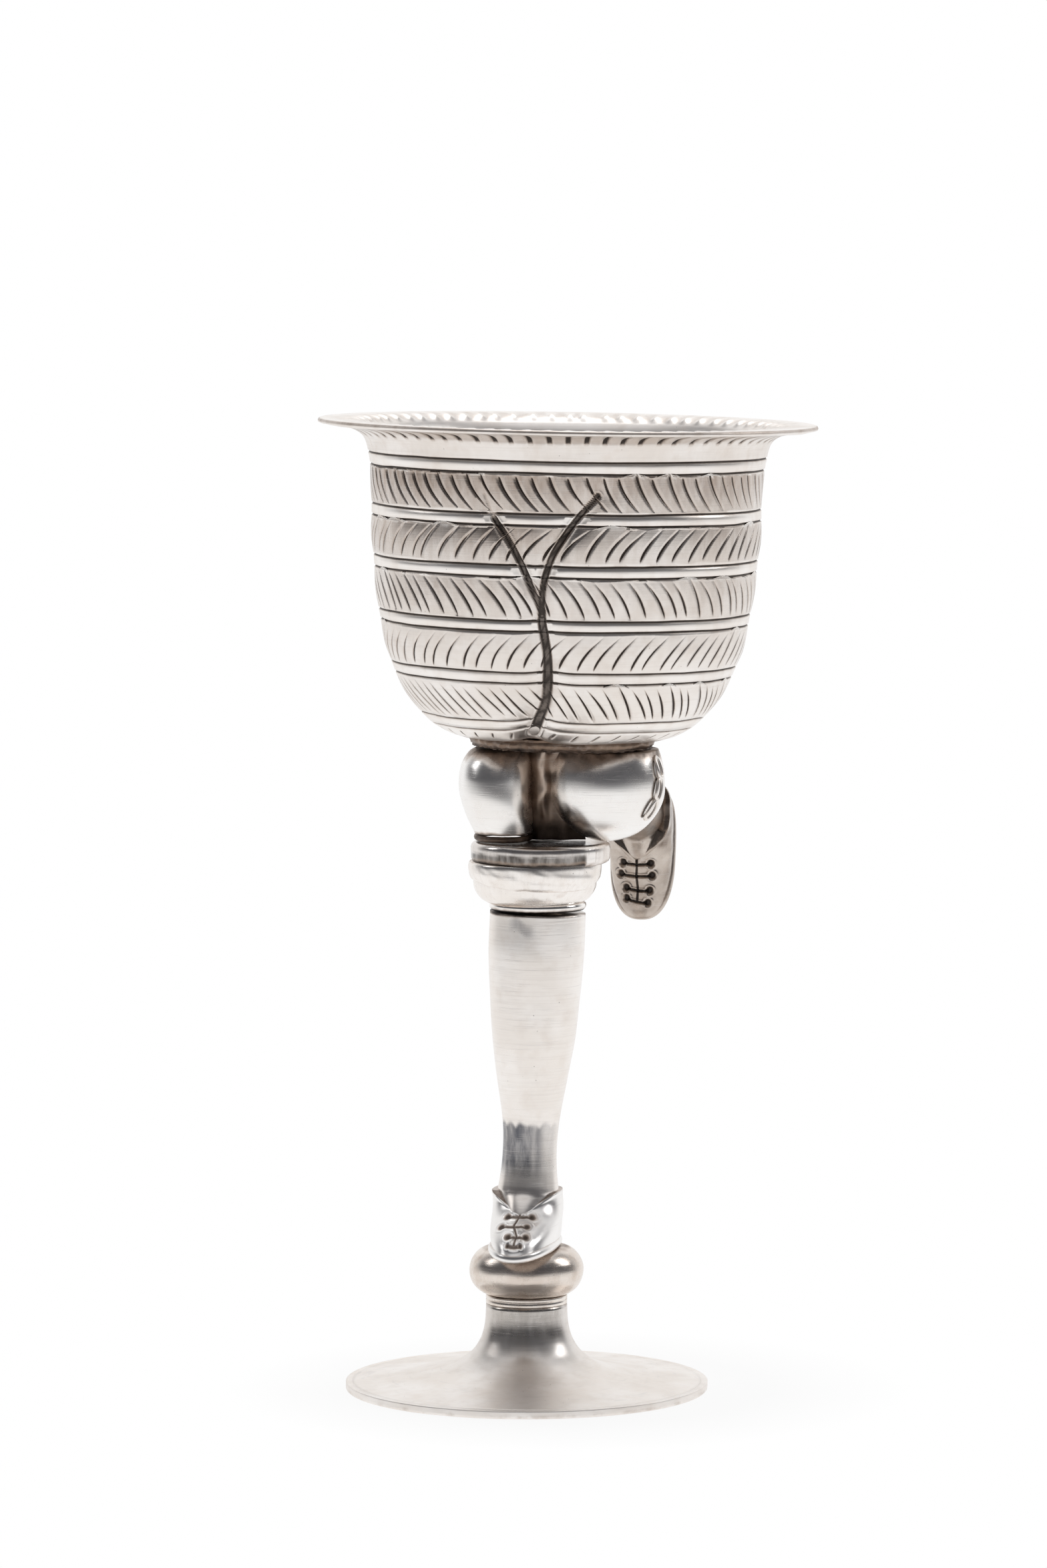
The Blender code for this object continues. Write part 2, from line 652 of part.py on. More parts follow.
def bent_leg(knee, knee_room):
    shin, turn_to = shin_frame()
    frame = empty("hanging_shoe_axis", None, knee + shin * KNEE_TO_SOLE, turn_to.to_euler())
    length = KNEE_TO_SOLE - SHOE_HEIGHT
    limb = (length, BENT_ANKLE_RADIUS, BENT_CALF_RADIUS)
    shoe("hanging_shoe", frame, frame, 0.0, *limb, WORN, 0.35)
    calf = piece("bent_calf", loft_mesh("bent_calf", calf_rings(*limb, 0.0)), frame, BRIGHT, 0.3)
    inner = loft_mesh("bent_calf_hollow", hollow_rings(*limb))
    boolean(calf, cutter("bent_calf_hollow", inner, frame), "DIFFERENCE")
    boolean(calf, knee_room, "DIFFERENCE")
    return shin


def link_mesh(name):
    # One long oval link of round wire
    half_long = LINK_LENGTH / 2.0 - LINK_WIRE
    half_wide = LINK_WIDTH / 2.0 - LINK_WIRE
    return wire_loop(name, half_long, half_wide, LINK_WIRE, 12, 5)


def garter_chain(knee, shin, knee_rise):
    # Links soldered end over end round the outer side of the bent knee, flat on the ball
    tilt = asin(CHAIN_BEHIND / RIGHT_KNEE_RADIUS)
    tall = knee_rise / sqrt(1.0 - (RIGHT_KNEE_TOP / RIGHT_KNEE_RADIUS) ** 2)
    right = Vector((0.0, 0.0, 1.0)).cross(-shin).normalized()
    up = right.cross(shin)
    pitch = LINK_LENGTH - LINK_OVERLAP * LINK_WIRE
    step = pitch / (RIGHT_KNEE_RADIUS + GAP + LINK_WIRE) / cos(tilt)
    chain = None
    for i in range(LINK_COUNT):
        a = radians(CHAIN_START) - step * i
        outward = right * cos(a) + up * sin(a)
        along = up * cos(a) - right * sin(a)
        across = shin * cos(tilt) - outward * sin(tilt)
        normal = shin * sin(tilt) + outward * cos(tilt)
        if chain is None:
            link = piece("knee_chain", link_mesh("knee_chain"), None, BRIGHT, 0.25)
            chain = link
        else:
            link = cutter(f"chain_link_{i}", link_mesh(f"chain_link_{i}"), None)
            boolean(chain, link, "UNION")
        bulge = hypot(cos(a) / RIGHT_KNEE_RADIUS, sin(a) / (tall if a > 0.0 else RIGHT_KNEE_RADIUS))
        link.location = knee + normal * (1.0 / bulge + GAP + LINK_WIRE)
        link.rotation_euler = Matrix((along, across, along.cross(across))).transposed().to_euler()


def bowl_outline():
    # The outer side of the raised sheet, from the rim's lower edge down to the bottom
    body_height = BOWL_DEPTH - RIM_DROP
    body = [(BOWL_RADIUS * out, body_height * up) for out, up in BOWL_OUTLINE]
    throat, shoulder = body[-1]
    reach = RIM_RADIUS - throat
    climb = RIM_DROP
    flare = [(throat + reach * out, shoulder + climb * up) for out, up in FLARE_OUTLINE]
    side = through(body + flare, 2)
    return list(reversed(side)) + [(BOWL_FLAT, 0.0), (0.0, 0.0)]


def crease_path(points, outline, sink):
    path = []
    for x, height in through(points, 3):
        radius = at_height(outline, height) + CREASE_WIDTH / 2.0 - sink
        path.append(Vector((x, -sqrt(radius * radius - x * x), height)))
    return path


def crease_cutter(name, points, outline, frame):
    # A round tool run down the front of the bowl, sunk to the crease's depth
    curve = bpy.data.curves.new(name, "CURVE")
    curve.dimensions = "3D"
    curve.bevel_depth = CREASE_WIDTH / 2.0
    curve.bevel_resolution = 1
    curve.use_fill_caps = True
    path = crease_path(points, outline, CREASE_DEPTH)
    spline = curve.splines.new("POLY")
    spline.points.add(len(path) - 1)
    for point, place in zip(spline.points, path):
        point.co = (*place, 1.0)
    maker = bpy.data.objects.new(name, curve)
    CUTTERS.objects.link(maker)
    bpy.context.view_layer.update()
    ready = maker.evaluated_get(bpy.context.evaluated_depsgraph_get())
    mesh = bpy.data.meshes.new_from_object(ready)
    bpy.data.objects.remove(maker)
    form = bmesh.new()
    form.from_mesh(mesh)
    bmesh.ops.remove_doubles(form, verts=form.verts, dist=0.00001)
    bmesh.ops.recalc_face_normals(form, faces=form.faces)
    form.to_mesh(mesh)
    form.free()
    return cutter(name, mesh, frame)


def seat_and_bowl(x, seat_low):
    # The plate over the knees and the bowl on it lean together by a hair
    axis = empty("bowl_axis", None, (x, 0.0, seat_low), (0.0, radians(BOWL_LEAN), 0.0))
    plate = [
        (0.0, SEAT_HEIGHT), (SEAT_RADIUS - SEAT_LIP, SEAT_HEIGHT),
        (SEAT_RADIUS - SEAT_LIP, 1.2 * SEAT_LIP), (SEAT_RADIUS, 0.7 * SEAT_LIP),
        (SEAT_RADIUS, 0.2 * SEAT_LIP), (SEAT_RADIUS - 0.2 * SEAT_LIP, 0.0), (0.0, 0.0),
    ]
    turned("bowl_seat", plate, axis, SEAT_STEPS, DARK, 0.5, closed=False)
    base = empty("bowl_base", axis, (0.0, 0.0, SEAT_HEIGHT + GAP))
    outline = bowl_outline()
    bowl = turned_sheet("bowl", outline, base, BOWL_STEPS, BOWL_SHEET, BRIGHT, 0.3)
    creases = {"left_crease": LEFT_CREASE, "right_crease": RIGHT_CREASE, "crease_stem": CREASE_STEM}
    for name, points in creases.items():
        boolean(bowl, crease_cutter(name, points, outline, base), "DIFFERENCE")


clear_scene()
PIECES = collection("chalice")
CUTTERS = collection("cutters")
STEM = empty("stem_axis", None, (STEM_X, 0.0, 0.0))
foot()
collar_and_knop()
calf_x, calf_z = standing_leg()
cuff_x, cuff_z = cuff(calf_x, calf_z)
knee_centre, knee_room, seat_z, knee_rise = knees(cuff_x, cuff_z)
shin_way = bent_leg(knee_centre, knee_room)
garter_chain(knee_centre, shin_way, knee_rise)
seat_and_bowl(cuff_x + SEAT_SHIFT, seat_z)
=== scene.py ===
import math

import bmesh
import bpy
import numpy as np
from mathutils import Matrix, Vector


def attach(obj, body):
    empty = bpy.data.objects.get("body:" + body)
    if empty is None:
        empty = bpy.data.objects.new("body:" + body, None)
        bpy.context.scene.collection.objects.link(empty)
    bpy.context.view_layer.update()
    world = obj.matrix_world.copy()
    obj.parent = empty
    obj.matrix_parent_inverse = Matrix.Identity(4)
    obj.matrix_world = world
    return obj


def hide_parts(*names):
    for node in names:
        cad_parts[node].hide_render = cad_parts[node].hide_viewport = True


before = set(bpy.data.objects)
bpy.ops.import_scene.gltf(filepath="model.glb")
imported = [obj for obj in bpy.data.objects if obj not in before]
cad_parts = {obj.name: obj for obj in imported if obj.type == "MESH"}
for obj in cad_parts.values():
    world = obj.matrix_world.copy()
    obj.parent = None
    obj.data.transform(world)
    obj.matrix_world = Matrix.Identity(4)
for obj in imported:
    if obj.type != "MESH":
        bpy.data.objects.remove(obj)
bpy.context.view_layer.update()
mm = 0.001
tau = 2.0 * math.pi
stemX = -7.4    # the axis of foot and knop; the bowl's is near 0
print("frame loaded")


def smoothRun(points, samples=None):
    # a smooth curve through the points and how far along it each point lies, or an even run of samples
    p = np.asarray(points, float)
    ends = np.vstack([2 * p[0] - p[1], p, 2 * p[-1] - p[-2]])
    t = np.linspace(0.0, 1.0, 24, endpoint=False)[:, None]
    fine = []
    for a, b, c, d in zip(ends, ends[1:], ends[2:], ends[3:]):
        fine.append(0.5 * (2 * b + (c - a) * t + (2 * a - 5 * b + 4 * c - d) * t ** 2
                           + (3 * b - a - 3 * c + d) * t ** 3))
    fine = np.vstack(fine + [p[-1:]])
    far = np.concatenate([[0.0], np.cumsum(np.linalg.norm(np.diff(fine, axis=0), axis=1))])
    if samples is None:
        return fine, far
    at = np.linspace(0.0, far[-1], samples)
    return np.stack([np.interp(at, far, column) for column in fine.T], 1)


def wave(turns, seed, low=2, high=9):
    # a gentle wobble that closes on itself after one turn
    dice = np.random.default_rng(seed)
    total = np.zeros_like(turns)
    for n in range(low, high):
        total = total + dice.normal() / n ** 0.5 * np.sin(n * turns + dice.uniform(0, tau))
    return total / (high - low) ** 0.5


def softDents(points, seed, size):
    # hammer-soft unevenness: slow waves in all directions, sizes in millimetres
    dice = np.random.default_rng(seed)
    total = np.zeros(points.shape[:-1])
    waves = 14
    for _ in range(waves):
        way = dice.normal(size=3)
        way = way / np.linalg.norm(way) / (size * dice.uniform(0.6, 1.6))
        total += np.sin(points @ way * tau + dice.uniform(0, tau))
    return total / waves ** 0.5


def easeIn(value, low, high):
    t = np.clip((value - low) / (high - low), 0.0, 1.0)
    return t * t * (3.0 - 2.0 * t)


def easeOut(value, low, high):
    return easeIn(-value, -high, -low)


def bump(value):
    # 1 in the middle, 0 from 1 outwards
    return easeIn(1.0 - value ** 2, 0.0, 1.0)


def hump(value, middle, width):
    # like bump, with soft tails
    return np.exp(-((value - middle) / width) ** 2)


def turnOf(grid):
    return np.arctan2(grid[..., 1], grid[..., 0])


def radiusOf(grid):
    return np.hypot(grid[..., 0], grid[..., 1])


def circled(radius, turn, z):
    return np.stack([radius * np.cos(turn), radius * np.sin(turn), z + 0.0 * turn], -1)


def turnsOf(steps):
    return np.arange(steps) * tau / steps


def spun(profile, steps):
    # rows of points on circles round the vertical axis
    profile = np.asarray(profile, float)
    return circled(profile[:, :1], turnsOf(steps), profile[:, 1:2])


def normalsOf(grid):
    # outward normals of a closed-round grid of rows that run downwards
    around = (np.roll(grid, -1, axis=1) - np.roll(grid, 1, axis=1)) / 2.0
    normals = np.cross(np.gradient(grid, axis=0), around)
    size = np.linalg.norm(normals, axis=2, keepdims=True)
    return normals / np.where(size > 1e-12, size, 1.0)


def dented(grid, seed, size, depth):
    return grid + normalsOf(grid) * (softDents(grid, seed, size) * depth)[..., None]


def drawnIn(grid, share, x=0.0):
    # the first and last row are carried on inwards
    middle = np.array([x, 0.0])
    inner = grid[[0, -1]].copy()
    inner[..., :2] = middle + (inner[..., :2] - middle) * share
    return np.concatenate([inner[:1], grid, inner[1:]], 0)


def edged(values):
    # shades for the rows that drawnIn adds
    return np.pad(values, ((1, 1), (0, 0)), "edge")


def placed(grid, matrix):
    flat = grid.reshape(-1, 3) @ np.array(matrix.to_3x3()).T + np.array(matrix.translation)
    return flat.reshape(grid.shape)


def turned(angle, axis):
    return Matrix.Rotation(math.radians(angle), 4, axis)


def addPiece(name, points, faces, finish, replaced, slotName, tarnishAndShade, patinaAndPaintedReflection=0.0):
    mesh = bpy.data.meshes.new(name)
    mesh.from_pydata((points * mm).tolist(), [], faces)
    mesh.update()
    mesh.shade_smooth()
    # first shade: brown to black tarnish in the hollows, with painted shade; second: a smooth film, mostly
    # painted reflection
    for key, values in (("tarnishAndShade", tarnishAndShade), ("patinaAndPaintedReflection", patinaAndPaintedReflection)):
        shade = mesh.attributes.new(key, "FLOAT", "POINT")
        values = np.zeros(len(points)) + np.reshape(values, -1)
        shade.data.foreach_set("value", np.clip(values, 0.0, 1.0).astype(np.float32))
    piece = bpy.data.objects.new(name, mesh)
    bpy.context.scene.collection.objects.link(piece)
    mesh.materials.append(finishes[finish])
    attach(piece, "root")
    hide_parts(*replaced)
    return piece


def gridFaces(shape, start=0, closed=False):
    # faces between rows that close sideways, and between the last and first row too if asked
    index = start + np.arange(shape[0] * shape[1]).reshape(shape[:2])
    if closed:
        index = np.vstack([index, index[:1]])
    beside = np.roll(index, -1, axis=1)
    return np.stack([index[:-1], index[1:], beside[1:], beside[:-1]], -1).reshape(-1, 4).tolist()


def skin(name, grid, finish, replaced, slotName, tarnishAndShade, patinaAndPaintedReflection=0.0):
    # a closed skin over rows that run down the outside
    rows, columns, _ = grid.shape
    pole, last = rows * columns, (rows - 1) * columns
    faces = gridFaces(grid.shape)
    for i in range(columns):
        j = (i + 1) % columns
        faces += [[pole, i, j], [pole + 1, last + j, last + i]]
    points = np.vstack([grid.reshape(-1, 3), grid[:1].mean(1), grid[-1:].mean(1)])
    shades = [np.broadcast_to(values, (rows, columns)) for values in (tarnishAndShade, patinaAndPaintedReflection)]
    shades = [np.append(shade, [shade[0, 0], shade[-1, 0]]) for shade in shades]
    return addPiece(name, points, faces, finish, replaced, slotName, *shades)


def ringPiece(name, grid, finish, replaced, slotName, tarnishAndShade, patinaAndPaintedReflection=0.0):
    faces = gridFaces(grid.shape, closed=True)
    return addPiece(name, grid.reshape(-1, 3), faces, finish, replaced, slotName, tarnishAndShade, patinaAndPaintedReflection)


def addNode(tree, kind, inputs=None, output=0, **settings):
    # a node with its settings, values and links; gives one of its outputs
    made = tree.nodes.new("ShaderNode" + kind)
    for key, value in settings.items():
        setattr(made, key, value)
    for key, value in (inputs or {}).items():
        if isinstance(value, bpy.types.NodeSocket):
            tree.links.new(value, made.inputs[key])
        else:
            made.inputs[key].default_value = value
    return made.outputs[output]


def calc(tree, what, first, second, clamp=False):
    return addNode(tree, "Math", {0: first, 1: second}, operation=what, use_clamp=clamp)


def mixColour(tree, share, first, second):
    first, second = [(*tone, 1.0) if isinstance(tone, tuple) else tone for tone in (first, second)]
    return addNode(tree, "Mix", {0: share, 6: first, 7: second}, 2, data_type="RGBA")


def lengthOf(tree, vector):
    return addNode(tree, "VectorMath", {0: vector}, "Value", operation="LENGTH")


def ramp(tree, value, low, high, bottom=0.0, top=1.0):
    ends = {"From Min": low, "From Max": high, "To Min": bottom, "To Max": top}
    return addNode(tree, "MapRange", {"Value": value, **ends})


def grain(tree, coords, scale, stretch=(1.0, 1.0, 1.0), turn=(0.0, 0.0, 0.0), detail=4.0, rough=0.6):
    # noise in millimetres, drawn out along one way for brush marks
    way = addNode(tree, "Mapping", {"Vector": coords, "Scale": stretch, "Rotation": turn})
    values = {"Vector": way, "Scale": scale, "Detail": detail, "Roughness": rough}
    return addNode(tree, "TexNoise", values, "Fac")


def silverFinish(name, look):
    finish = bpy.data.materials.new(name)
    finish.use_nodes = True
    tree = finish.node_tree
    shader = tree.nodes["Principled BSDF"].inputs
    shader["Metallic"].default_value = 1.0

    def times(first, second, clamp=False):
        return calc(tree, "MULTIPLY", first, second, clamp)

    def plus(first, second, clamp=False):
        return calc(tree, "ADD", first, second, clamp)

    def minus(first, second):
        return calc(tree, "SUBTRACT", first, second)

    place = addNode(tree, "TexCoord", output="Object")
    coords = addNode(tree, "VectorMath", {0: place, "Scale": 1000.0}, operation="SCALE")
    crevice = addNode(tree, "Attribute", output="Fac", attribute_name="tarnishAndShade")
    patinaAndPaintedReflection = addNode(tree, "Attribute", output="Fac", attribute_name="patinaAndPaintedReflection")

    cloud = grain(tree, coords, 0.09, detail=3.0, rough=0.55)
    patch = grain(tree, coords, 0.32, detail=6.0)
    brushed = grain(tree, coords, 1.0, look["brush"], detail=5.0, rough=0.65)
    film = times(ramp(tree, patch, 0.5, 0.78), look["film"])
    streak = times(ramp(tree, brushed, 0.5, 0.75), look["streak"])
    lines = []
    for turn in look["scratchTurns"]:
        fine = grain(tree, coords, 1.0, (0.12, 0.12, 6.5), turn, detail=2.0, rough=0.5)
        lines.append(ramp(tree, fine, 0.66, 0.72))
    scratches = times(calc(tree, "MAXIMUM", *lines), look["scratch"])
    cells = addNode(tree, "TexVoronoi", {"Vector": coords, "Scale": 0.42}, "Distance")
    pits = times(ramp(tree, cells, 0.05, 0.022), look["pits"])
    # the second shade mixes in a smooth film, mostly painted reflection; the first darkens to brown and
    # black, tarnish and painted shade
    smudge = grain(tree, coords, 0.55, (1.0, 1.0, 0.3))
    veil = times(patinaAndPaintedReflection, ramp(tree, smudge, 0.25, 0.6, 0.55, 1.0), True)
    dirtAndShade = plus(crevice, times(minus(patch, 0.5), look["mottle"]))
    dirtAndShade = times(dirtAndShade, ramp(tree, crevice, 0.0, 0.12))

    colour = mixColour(tree, ramp(tree, cloud, 0.38, 0.62), look["pale"], look["deep"])
    for share, tone in ((film, "film"), (streak, "streak"), (pits, "tarnishAndShade"), (veil, "patinaAndPaintedReflection"),
                        (scratches, "scratch"), (ramp(tree, dirtAndShade, 0.05, 0.55, 0.0, look["halo"]), "halo"),
                        (ramp(tree, dirtAndShade, 0.45, 0.9, 0.0, look["black"]), "tarnishAndShade")):
        colour = mixColour(tree, share, colour, look[tone + "Colour"])
    tree.links.new(colour, shader["Base Color"])

    rough = plus(times(minus(brushed, 0.5), look["roughVary"]), look["roughness"])
    rough = plus(rough, times(film, 0.2))
    rough = minus(rough, times(patinaAndPaintedReflection, look["veilShine"] * look["roughness"]))
    rough = plus(rough, times(ramp(tree, dirtAndShade, 0.1, 0.8), 0.22), True)
    tree.links.new(rough, shader["Roughness"])

    height = minus(times(brushed, look["brushDepth"]), times(scratches, 0.5))
    height = minus(height, times(pits, 1.5))
    if look["turning"]:
        # fine rings left by the lathe, round the stem's axis
        flat = {"Vector": coords, "Location": (-stemX, 0.0, 0.0), "Scale": (1.0, 1.0, 0.0)}
        away = lengthOf(tree, addNode(tree, "Mapping", flat))
        rings = addNode(tree, "TexNoise", {"W": away, "Scale": 3.2, "Detail": 4.0}, "Fac",
                        noise_dimensions="1D")
        height = plus(height, times(rings, look["turning"]))
    relief = {"Height": height, "Strength": 1.0, "Distance": look["bumpSize"]}
    tree.links.new(addNode(tree, "Bump", relief), shader["Normal"])
    return finish


satinLook = {
    "pale": (0.95, 0.91, 0.875), "deep": (0.89, 0.835, 0.785), "film": 0.4, "filmColour": (0.78, 0.68, 0.6),
    "brush": (0.06, 0.06, 3.2), "brushDepth": 0.5, "streak": 0.4, "streakColour": (0.76, 0.7, 0.65),
    "scratch": 0.35, "scratchColour": (0.75, 0.72, 0.7), "pits": 0.5, "black": 0.95, "mottle": 1.1,
    "scratchTurns": ((0.9, 0.3, 0.0), (0.35, -0.8, 0.4)), "halo": 0.65, "haloColour": (0.36, 0.27, 0.21),
    "tarnishAndShadeColour": (0.04, 0.034, 0.032), "patinaAndPaintedReflectionColour": (0.11, 0.115, 0.13), "veilShine": 0.5,
    "roughness": 0.3, "roughVary": 0.18, "bumpSize": 0.00002, "turning": 0.0,
}
# what sets each finish apart from the satin one
silverLooks = {
    "chasedSilver": {"patinaAndPaintedReflectionColour": (0.34, 0.255, 0.2), "roughness": 0.33, "roughVary": 0.1, "mottle": 0.35,
                     "tarnishAndShadeColour": (0.045, 0.037, 0.033)},
    "polishedSilver": {"pale": (0.95, 0.925, 0.9), "deep": (0.9, 0.865, 0.83), "film": 0.16, "streak": 0.12,
                       "roughness": 0.12, "roughVary": 0.1, "brushDepth": 0.15},
    "shoeSilver": {"pale": (0.95, 0.93, 0.91), "deep": (0.91, 0.89, 0.87), "film": 0.12, "streak": 0.1,
                   "roughness": 0.29, "roughVary": 0.06, "brushDepth": 0.1, "mottle": 0.4,
                   "haloColour": (0.42, 0.3, 0.22), "tarnishAndShadeColour": (0.07, 0.05, 0.04)},
    "webSolder": {"pale": (0.5, 0.405, 0.34), "deep": (0.37, 0.285, 0.23), "film": 0.3, "streak": 0.12,
                  "filmColour": (0.28, 0.205, 0.16), "streakColour": (0.17, 0.12, 0.09),
                  "haloColour": (0.15, 0.105, 0.08), "tarnishAndShadeColour": (0.05, 0.037, 0.03), "mottle": 0.5,
                  "brush": (0.9, 0.9, 0.25), "brushDepth": 0.08, "roughness": 0.33, "roughVary": 0.05},
    "kneeSilver": {"pale": (0.95, 0.93, 0.91), "deep": (0.91, 0.88, 0.85), "film": 0.2, "streak": 0.15,
                   "haloColour": (0.38, 0.26, 0.18), "roughness": 0.26, "roughVary": 0.08,
                   "brushDepth": 0.2},
    "calfSilver": {"patinaAndPaintedReflectionColour": (0.12, 0.122, 0.138), "roughVary": 0.16, "film": 0.3, "scratch": 0.4,
                   "brushDepth": 0.4},
    "wornSilver": {"pale": (0.88, 0.82, 0.76), "deep": (0.74, 0.65, 0.58), "film": 0.65, "streak": 0.3,
                   "filmColour": (0.6, 0.48, 0.39), "roughness": 0.25, "turning": 0.5},
    "footSilver": {"patinaAndPaintedReflectionColour": (0.25, 0.22, 0.19), "veilShine": 0.75, "roughness": 0.45, "film": 0.2,
                   "brush": (0.25, 0.25, 1.0), "brushDepth": 0.2, "scratch": 0.3, "turning": 0.6},
    "greySilver": {"pale": (0.64, 0.565, 0.5), "deep": (0.47, 0.405, 0.355), "film": 0.5, "pits": 0.9,
                   "filmColour": (0.3, 0.235, 0.19), "patinaAndPaintedReflectionColour": (0.16, 0.115, 0.088),
                   "brush": (0.8, 0.8, 0.8)},
    "streakedSilver": {"pale": (0.92, 0.88, 0.85), "deep": (0.8, 0.74, 0.69), "roughness": 0.24,
                       "brush": (1.6, 1.6, 0.16), "streak": 0.5, "streakColour": (0.5, 0.43, 0.38),
                       "patinaAndPaintedReflectionColour": (0.1, 0.088, 0.08)},
    "rollSilver": {"brush": (1.2, 1.2, 0.3), "brushDepth": 0.25, "roughness": 0.25,
                   "haloColour": (0.5, 0.37, 0.28)},
    "darkSolder": {"pale": (0.3, 0.215, 0.16), "deep": (0.13, 0.09, 0.068), "film": 0.7, "halo": 0.7,
                   "filmColour": (0.62, 0.49, 0.38), "haloColour": (0.13, 0.088, 0.065),
                   "brush": (0.7, 0.7, 0.7), "brushDepth": 1.6},
}
finishes = {name: silverFinish(name, {**satinLook, **changes}) for name, changes in silverLooks.items()}
print("finishes ready")


footLook = {
    "steps": 144, "rows": 46, "sheet": 0.9, "sway": 0.05,
    "outside": [(7.3, 15.6), (7.45, 12.6), (7.85, 10.4), (8.6, 8.5), (10.2, 6.4), (13.6, 4.3), (18.6, 2.9),
                (24.6, 2.05), (29.6, 1.62), (31.5, 1.48)],
}


def buildFoot(look):
    outside = smoothRun(look["outside"], look["rows"])
    inside = outside[::-1].copy()
    inside[:, 0] -= look["sheet"] * np.interp(inside[:, 0], [7.0, 9.0, 12.0], [1.0, 0.8, 0.15])
    inside[:, 1] -= look["sheet"] * np.interp(inside[:, 0], [6.3, 8.0, 12.0], [0.0, 0.7, 1.0])
    inside[:, 1] = np.maximum(inside[:, 1], 0.55)
    grid = spun(np.vstack([outside, inside]), look["steps"])
    turn = turnOf(grid)
    grid[..., 2] += look["sway"] * wave(turn, 5) * np.clip((radiusOf(grid) - 9) / 22, 0, 1)
    grid += softDents(grid, 8, 9.0)[..., None] * np.array([0.006, 0.006, 0.02])
    dark = 0.3 * easeIn(grid[..., 2], 15.35, 15.6)
    dark[look["rows"]:] = 0.3
    # painted reflection of the dark room: a smooth grey film on the neck in upright stripes, most of it in
    # front
    radius = radiusOf(grid)
    stripes = 0.8 + 0.25 * wave(turn, 9, 4, 40)
    front = 0.25 + 0.75 * easeOut(np.abs(turn + math.pi / 2), 0.95, 1.15)
    patinaAndPaintedReflection = 0.36 * (easeOut(radius, 9.5, 11.5) + easeOut(radius, 7.6, 8.2)) * stripes * front
    grid[..., 0] += stemX
    ringPiece("footTrumpet", grid, "footSilver", ["foot"], "worn_silver", dark, patinaAndPaintedReflection)


edgeLook = {"radius": 32.7, "inner": 31.15, "height": 1.45, "steps": 160, "wobble": 0.05}


def buildFootEdge(look):
    high, out = look["height"], look["radius"]
    section = [(look["inner"], high - 0.3), (out - 1.2, high + 0.04), (out - 0.2, high),
               (out - 0.06, high - 0.01), (out, high - 0.06), (out, high - 0.2), (out, 0.5),
               (out - 0.03, 0.2), (out - 0.2, 0.04), (out - 0.6, 0.0), (look["inner"], 0.0)]
    grid = spun(section, look["steps"])
    shrink = 1.0 - np.abs(wave(turnOf(grid), 3)) * look["wobble"] / out
    grid[..., :2] *= shrink[..., None]
    dark = np.zeros(grid.shape[:2])
    dark[-2:] = 0.6
    dark[6:8] = 0.1
    grid[..., 0] += stemX
    ringPiece("footEdge", grid, "footSilver", ["foot_edge_ring"], "worn_silver", dark)


knopLook = {"middle": 21.6, "radius": 10.3, "half": 4.4, "flat": 6.2, "seam": 20.3, "steps": 112}


def buildKnop(look):
    sweep = np.linspace(math.pi / 2, -math.pi / 2, 40)
    z = look["middle"] + look["half"] * np.sin(sweep)
    r = look["flat"] + (look["radius"] - look["flat"]) * np.cos(sweep)
    r -= 0.01 * bump((z - look["seam"]) / 0.25)
    rows = np.vstack([[0.02, look["middle"] + look["half"]], np.stack([r, z], 1)])
    grid = dented(spun(rows, look["steps"]), 21, 6.0, 0.04)
    z = grid[..., 2]
    # painted shadow: darker round the top under the shoe's sole, and in front under the toe; darker at the
    # bottom by the collar
    dark = 0.5 * easeIn(z, 25.3, 25.9) + 0.45 * easeOut(z, 17.3, 17.8)
    dark += 0.25 * np.clip(-grid[..., 1] / look["radius"], 0, 1) * bump((z - 24.6) / 1.2)
    # each shell ends in a shelf at the seam, with a row close by that keeps the edge crisp
    split = int(np.argmin(np.abs(rows[:, 1] - look["seam"])))
    seam = grid[split:split + 1]
    shelf = seam * np.array([0.7, 0.7, 1.0])
    above = 0.95 * seam + 0.05 * grid[split - 1]
    below = 0.95 * seam + 0.05 * grid[split + 1]
    upper = np.concatenate([grid[:split], above, seam, shelf], 0)
    lower = np.concatenate([shelf, seam, below, grid[split + 1:]], 0)
    again = dark[[split, split]]
    for name, shell, node, shades in (("knopCushionTop", upper, "knop_upper", [dark[:split + 1], again]),
                                      ("knopCushionBase", lower, "knop_lower", [again, dark[split:]])):
        shell[..., 0] += stemX
        skin(name, shell, "wornSilver", [node], "worn_silver", np.vstack(shades))


collarLook = {"low": 15.6, "high": 17.25, "radius": 7.38, "inner": 5.2, "steps": 96}


def buildCollar(look):
    out, low, high = look["radius"], look["low"], look["high"]
    middle = (low + high) / 2
    section = [(look["inner"], high), (out - 0.1, high), (out, high - 0.2), (out, middle + 0.12),
               (out - 0.1, middle), (out, middle - 0.12), (out, low + 0.12), (out - 0.06, low),
               (look["inner"], low)]
    grid = spun(section, look["steps"])
    turn = turnOf(grid)
    grid[..., :2] *= (0.995 + 0.004 * wave(turn, 12, 3, 12))[..., None]
    dark = 0.1 * wave(turn, 13)
    dark[:2] += 0.6
    dark[4] += 0.35
    dark[7:] += 0.5
    grid[..., 0] += stemX
    ringPiece("neckCollar", grid, "wornSilver", ["neck_collar"], "dark_silver", dark)


buildFoot(footLook)
buildFootEdge(edgeLook)
buildKnop(knopLook)
buildCollar(collarLook)
print("foot, collar and knop built")


